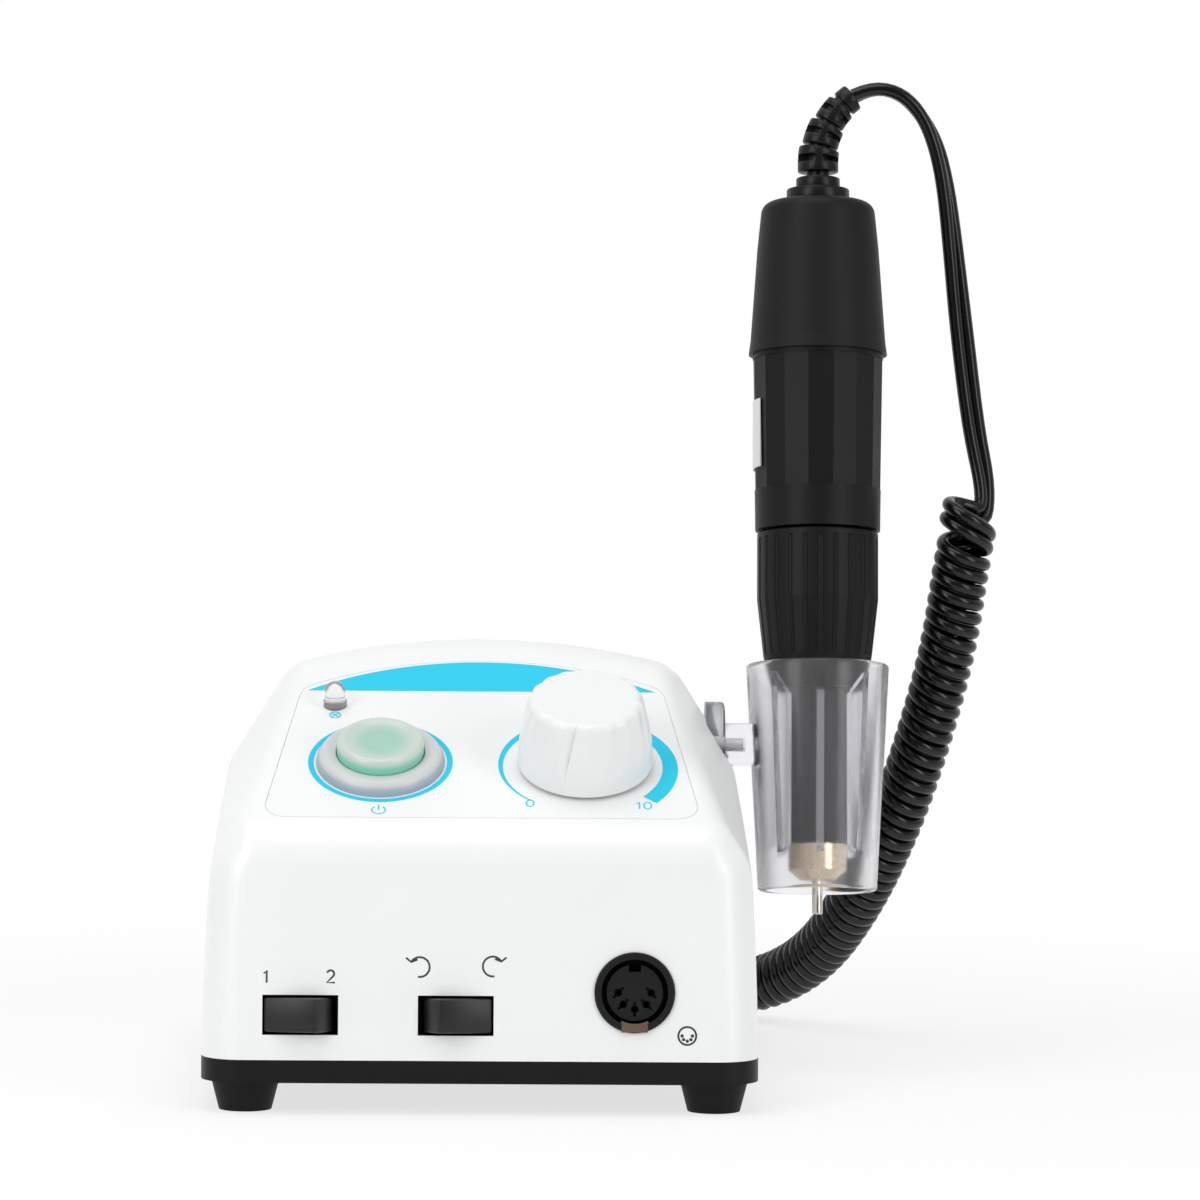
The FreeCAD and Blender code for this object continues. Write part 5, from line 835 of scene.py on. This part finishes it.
# The tape is yellow and half glossy, and uneven over the wires under it
winding_tape = moulded("yellow_winding_tape", "C9A640", "B9942F", 0.4, 0.08, 1.5, 0.02)
dress(winding_tape, "transformer_winding")
# The fuse's tube is clear glass, smooth and fully glossy
fuse_glass = clear_plastic("fuse_glass", "F5F7F7", 1.0, 0.03, 1.5, 3.0, 0.0002)
dress(fuse_glass, "fuse_link")


# The cradle is one moulding in clear polycarbonate with a lightly frosted skin. It swivels on a
# disc in the side of the cover, held by a zinc-plated screw, and its ribs carry the handpiece.
RIB_INNER_RADIUS = 9.7
RIB_OUTER_RADIUS = 11.0
RIB_CLEARNESS = 0.6
# The frosting blurs what is behind it, and the low IOR keeps the thin wall from bending it too
frosted_clear = clear_plastic(
    "frosted_clear_polycarbonate", "F6F6F8", 0.97, 0.19, 1.31, 0.8, 0.0004
)
hand_axis = Vector(joints["spindle_spin"]["axis"])
pivot = place(75.15, 80.0, 72.7)


def frost_ribs(material):
    """The ribs inside the cup are frosted more than its wall."""
    tree = material.node_tree
    skin = tree.nodes["Principled BSDF"]
    spot = add(tree, "TexCoord", {}).outputs["Object"]
    arm = add(tree, "VectorMath", {"operation": "SUBTRACT", 1: pivot}, {0: spot})
    turned_arm = add(tree, "VectorMath", {"operation": "CROSS_PRODUCT", 1: hand_axis}, {0: arm})
    reach = add(tree, "VectorMath", {"operation": "LENGTH"}, {0: turned_arm})
    wall = skin.inputs["Transmission Weight"].default_value
    clear = add(
        tree,
        "MapRange",
        {
            "From Min": RIB_INNER_RADIUS * MM,
            "From Max": RIB_OUTER_RADIUS * MM,
            "To Min": RIB_CLEARNESS,
            "To Max": wall,
        },
        {"Value": reach.outputs["Value"]},
    )
    tree.links.new(clear.outputs[0], skin.inputs["Transmission Weight"])


frost_ribs(frosted_clear)
dress(frosted_clear, "cradle_cup")
# This plating is whiter than the case screws', and its grain blurs what it reflects
bright_zinc = metal("bright_zinc_plate", "F2F2F3", 0.5, 0.4, "XY")
dress(bright_zinc, "cradle_screw")


# The handpiece: a glass-filled nylon barrel with shallow flats, a fluted twist grip and a soft
# rear boot, all matt black, on a steel nose with its chuck and a bur.

# Fibres and grain take the gloss away. They are under 0.2 mm, and are drawn twice as coarse
barrel_nylon = moulded("glass_filled_nylon", "111111", "151515", 0.46, 0.05, 0.35, 0.010, 0.2)
dress(barrel_nylon, "handpiece_barrel", "twist_grip")
# The rubber is a shade greyer and duller than the nylon
boot_rubber = moulded("matt_boot_rubber", "161616", "1A1A1A", 0.52, 0.05, 0.5, 0.012, 0.2)
dress(boot_rubber, "rear_boot", "plug_boot")
# The plate is a bare pale film with a slight gloss
plate_film = moulded("pale_label_polyester", "D9DADB", "E1E2E2", 0.35, 0.04, 1.0, 0.003)
dress(plate_film, "rating_plate")
# Turned steel is bright, with fine rings
steel = metal("turned_steel", "D6D2CA", 0.2, 0.3, "XYZ")
dress(steel, "bur_shank", "spindle", "bearings")
# Brass under clear lacquer is pale and warm
chuck_brass = metal("lacquered_chuck_brass", "CDBBA4", 0.25, 0.3, "XYZ")
dress(chuck_brass, "chuck_nose")
# Anodising leaves a dense black with a dry sheen
anodised = moulded("black_anodised_aluminium", "131316", "18181C", 0.38, 0.05, 0.3, 0.004, 0.2)
dress(anodised, "nose_sleeve")
# Sintered ferrite is dark grey and rough
ferrite = moulded("sintered_ferrite", "3A3A3C", "434346", 0.6, 0.06, 0.4, 0.02)
dress(ferrite, "motor_magnets")
# The brushes keep the copper polished
copper = metal("machined_copper", "B8734A", 0.3, 0.3, "XY")
dress(copper, "commutator")
dress(epoxy_black, "brush_gear")


# The strain relief is moulded in soft black PVC on the lead: two collars, then three pairs of rings
# on a slim core, each pair tied by four webs, and a last ring where the lead comes out.
# Soft PVC shines more than rubber, so that each ring has a thin highlight
gland_pvc = moulded("soft_black_pvc", "0F0F0F", "131313", 0.36, 0.05, 0.8, 0.006, 0.28)
hand = Matrix.Translation(pivot) @ along(hand_axis, (1, 0, 0))
BOOT_TOP = 123.2
GLAND_COLLARS = ((0.0, 3.0, 7.1), (3.0, 5.6, 4.95))
GLAND_PAIRS = ((6.9, 12.3, 4.6), (13.0, 18.0, 4.1), (18.7, 23.4, 3.55))
GLAND_END = (24.3, 26.9, 3.2)
GLAND_BANDS = ((0.0, 0.42), (0.66, 1.0))
GLAND_CORE_RADIUS = 2.5
GLAND_WEB_HALVES = (12, 17)
GLAND_SLIM_START = 20
GLAND_BEND_START = 9.0
GLAND_BEND_RADIUS = 19.0
GLAND_EDGE = 0.35
GLAND_STEPS = 72


def on_gland(length):
    """The frame on the strain relief's middle line at a length from the boot's top."""
    bend = max(0.0, length - GLAND_BEND_START) / GLAND_BEND_RADIUS
    x = GLAND_BEND_RADIUS * (1 - math.cos(bend))
    z = min(length, GLAND_BEND_START) + GLAND_BEND_RADIUS * math.sin(bend)
    move = Matrix.Translation((x * MM, 0, (BOOT_TOP + z) * MM))
    return hand @ move @ Matrix.Rotation(bend, 4, "Y")


def band_rows(start, end, radius):
    """Rows of (length, radius, radius at the webs) over one ring with rounded edges."""
    edge = GLAND_EDGE
    rows = [
        (start, radius - edge),
        (start + 0.3 * edge, radius - 0.3 * edge),
        (start + edge, radius),
        (end - edge, radius),
        (end - 0.3 * edge, radius - 0.3 * edge),
        (end, radius - edge),
    ]
    return [(length, r, r) for length, r in rows]


def gland_rows():
    """Rows of (length, radius, radius at the webs) over the whole strain relief."""
    core = GLAND_CORE_RADIUS
    rows = [(0.0, 0.001, 0.001)]
    for start, end, radius in GLAND_COLLARS:
        rows += band_rows(start, end, radius)
    rows.append((rows[-1][0], core, core))
    for start, end, radius in GLAND_PAIRS:
        web = core
        for low, high in GLAND_BANDS:
            low, high = start + low * (end - start), start + high * (end - start)
            band = band_rows(low, high, radius)
            rows.append((low, core, web))
            rows += [(length, r, max(r, web)) for length, r, _ in band[:3]]
            web = core if high == end else radius
            rows += [(length, r, max(r, web)) for length, r, _ in band[3:]]
            rows.append((high, core, web))
    start, end, radius = GLAND_END
    rows.append((start, core, core))
    rows += band_rows(start, end, radius)
    rows.append((end, 0.001, 0.001))
    return rows


def gland_rings():
    """Each row as a ring of points, with a web at every quarter turn."""
    rings = []
    for length, radius, web in gland_rows():
        at = on_gland(length)
        wide = GLAND_WEB_HALVES[0] if length < GLAND_SLIM_START else GLAND_WEB_HALVES[1]
        ring = []
        for n in range(GLAND_STEPS):
            turn = 360 / GLAND_STEPS * n
            r = web if abs((turn + 45) % 90 - 45) < wide else radius
            a = math.radians(turn)
            ring.append(at @ (Vector((r * math.cos(a), r * math.sin(a), 0)) * MM) / MM)
        rings.append(ring)
    return rings


points, faces = tube(gland_rings())
gland = piece("gland", points, faces, Matrix.Identity(4), "handpiece", "cord_pvc", gland_pvc)
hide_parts("strain_relief")


# The cord is a twin lead in glossy black PVC: two round strands joined by a thin web. It hangs
# from the strain relief, is wound into curls, and ends behind the box in its 5-pin plug.
# The cord's skin is extruded smooth, so that each curl carries a sharp highlight
cord_pvc = moulded("glossy_cord_pvc", "0A0A0B", "0D0D0E", 0.22, 0.03, 2.0, 0.001, 0.38)
STRAND_RADIUS = 1.52
LEAD_SPACING = 2.95
CURL_RADIUS = 5.0
CURL_PITCHES = (6.45, 6.1)
CURL_START_ANGLE = -90.0
CURL_STEPS = 12
CURL_LIFT = 3.0
LIFTED_STEPS = 9
LIFT_WAVE_STEPS = 20
SECTION_STEPS = 15
WEB_HALF = 0.12
LEAD_POINTS = (
    ((87.2, 105.7, 220.3), (0.0, 1.0, 0.0)),
    ((93.6, 105.7, 219.2), (0.0, 1.0, 0.0)),
    ((98.3, 105.8, 214.7), (0.0, 1.0, 0.0)),
    ((101.9, 106.0, 208.0), (0.33, 0.94, 0.0)),
    ((104.3, 106.3, 198.5), (0.45, 0.9, 0.0)),
    ((106.1, 106.8, 185.0), (0.62, 0.78, 0.0)),
    ((108.3, 107.2, 166.0), (0.85, 0.53, 0.0)),
    ((111.3, 107.0, 143.0), (0.8, 0.6, 0.0)),
    ((114.0, 105.5, 130.5), (0.7, 0.7, 0.0)),
)
LEAD_CORNERS = ((113.0, 102.7, 125.0), (114.3, 103.7, 121.6))
CURL_AXIS = (
    (110.4, 96.4, 124.3),
    (108.3, 98.0, 113.5),
    (106.0, 101.5, 93.6),
    (100.1, 109.2, 69.0),
    (94.2, 118.6, 49.6),
    (87.4, 133.5, 32.0),
    (78.6, 152.5, 16.2),
    (65.5, 167.0, 7.6),
    (48.9, 175.5, 6.9),
    (33.0, 175.9, 6.9),
    (18.0, 177.0, 6.9),
)
TAIL_CORNERS = ((17.62, 163.06, 10.25), (15.72, 167.74, 11.14))
TAIL_POINTS = ((1.0, 166.0, 9.5), (-14.0, 166.0, 8.0))


def along_route(name, points, resolution):
    """Points read from the smooth line of a route's control points."""
    curve = bpy.data.curves.new(name, "CURVE")
    curve.dimensions = "3D"
    spline = curve.splines.new("NURBS")
    spline.points.add(len(points) - 1)
    for knot, point in zip(spline.points, points):
        knot.co = (*point, 1)
    spline.order_u = 3
    spline.use_endpoint_u = True
    spline.resolution_u = resolution
    holder = bpy.data.objects.new(name, curve)
    mesh = bpy.data.meshes.new_from_object(holder)
    line = [vertex.co.copy() for vertex in mesh.vertices]
    bpy.data.meshes.remove(mesh)
    bpy.data.objects.remove(holder)
    bpy.data.curves.remove(curve)
    return line


axis_line = along_route("curl_axis", [place(*point) for point in CURL_AXIS], 40)
lengths = [0.0]
for a, b in zip(axis_line, axis_line[1:]):
    lengths.append(lengths[-1] + (b - a).length)


def on_axis(length):
    """The point and heading on the middle of the curls at a length from its top."""
    length = max(0.0, min(lengths[-1], length))
    n = next(i for i in range(1, len(lengths)) if lengths[i] >= length or i == len(lengths) - 1)
    share = (length - lengths[n - 1]) / (lengths[n] - lengths[n - 1])
    before, after = axis_line[n - 1], axis_line[n]
    return before.lerp(after, share), (after - before).normalized()


# The curls lie closer together towards the plug, so that the pitch falls evenly along them
curl_turns = 2 * lengths[-1] / MM / sum(CURL_PITCHES) - 0.5
pitch_change = (CURL_PITCHES[1] - CURL_PITCHES[0]) / (curl_turns + 0.5)


def curl_points(strand):
    """The turns of one strand round the middle line; the second lies half a turn further on."""
    across = Vector((1, 0, 0))
    made = []
    reach = CURL_RADIUS * MM / math.cos(math.pi / CURL_STEPS)
    for n in range(int(curl_turns * CURL_STEPS) + 1):
        turns = n / CURL_STEPS + strand / 2
        centre, heading = on_axis((CURL_PITCHES[0] * turns + pitch_change * turns**2 / 2) * MM)
        # The first turn rises at its left and front, and hides where the straight lead joins it
        if n <= LIFTED_STEPS:
            wave = math.cos(math.tau * (n - LIFTED_STEPS / 2) / LIFT_WAVE_STEPS)
            centre.z += CURL_LIFT * max(0.0, wave) * MM
        across = (across - heading * across.dot(heading)).normalized()
        other = heading.cross(across)
        angle = math.radians(CURL_START_ANGLE - 360 * n / CURL_STEPS)
        made.append(centre + (across * math.cos(angle) + other * math.sin(angle)) * reach)
    return made


gland_mouth = on_gland(GLAND_END[1] + 0.1)


def strand_line(strand):
    """One strand from the strain relief, down the lead, round the curls and into the plug."""
    side = strand - 0.5
    route = [gland_mouth @ Vector((0, side * LEAD_SPACING * MM, 0))]
    for point, across in LEAD_POINTS:
        route.append(place(*point) + Vector(across).normalized() * (side * LEAD_SPACING * MM))
    route.append(place(*LEAD_CORNERS[strand]))
    route += curl_points(strand)
    route.append(place(*TAIL_CORNERS[strand]))
    for point in TAIL_POINTS:
        route.append(place(*point) + Vector((0, side * LEAD_SPACING * MM, 0)))
    return along_route("strand", route, 4)


strands = [strand_line(0), strand_line(1)]
middle_line = [(a + b) / 2 for a, b in zip(*strands)]


def twin_section(gap):
    """The outline of two round strands with a web, for half the distance between their middles."""
    web = math.asin(WEB_HALF / STRAND_RADIUS)
    outline = []
    for end in (1, -1):
        for n in range(SECTION_STEPS + 1):
            a = -math.pi + web + (math.tau - 2 * web) * n / SECTION_STEPS
            x = gap + STRAND_RADIUS * math.cos(a)
            outline.append((end * x, end * STRAND_RADIUS * math.sin(a)))
    return outline


def cord_rings():
    """The section of the twin lead at each point of its middle line."""
    rings = []
    last = len(middle_line) - 1
    for n, middle in enumerate(middle_line):
        heading = (middle_line[min(n + 1, last)] - middle_line[max(n - 1, 0)]).normalized()
        apart = strands[1][n] - strands[0][n]
        apart = apart - heading * apart.dot(heading)
        side = apart.normalized()
        up = heading.cross(side)
        outline = twin_section(apart.length / MM / 2)
        rings.append([(middle + side * (x * MM) + up * (y * MM)) / MM for x, y in outline])
    return rings


points, faces = tube(cord_rings())
section = 2 * (SECTION_STEPS + 1)
faces += [tuple(range(section)), tuple(len(points) - 1 - n for n in range(section))]
lead = piece("twin_lead", points, faces, Matrix.Identity(4), "handpiece", "cord_pvc", cord_pvc)
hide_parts("cord_lead", "cord_curls", "cord_tail")
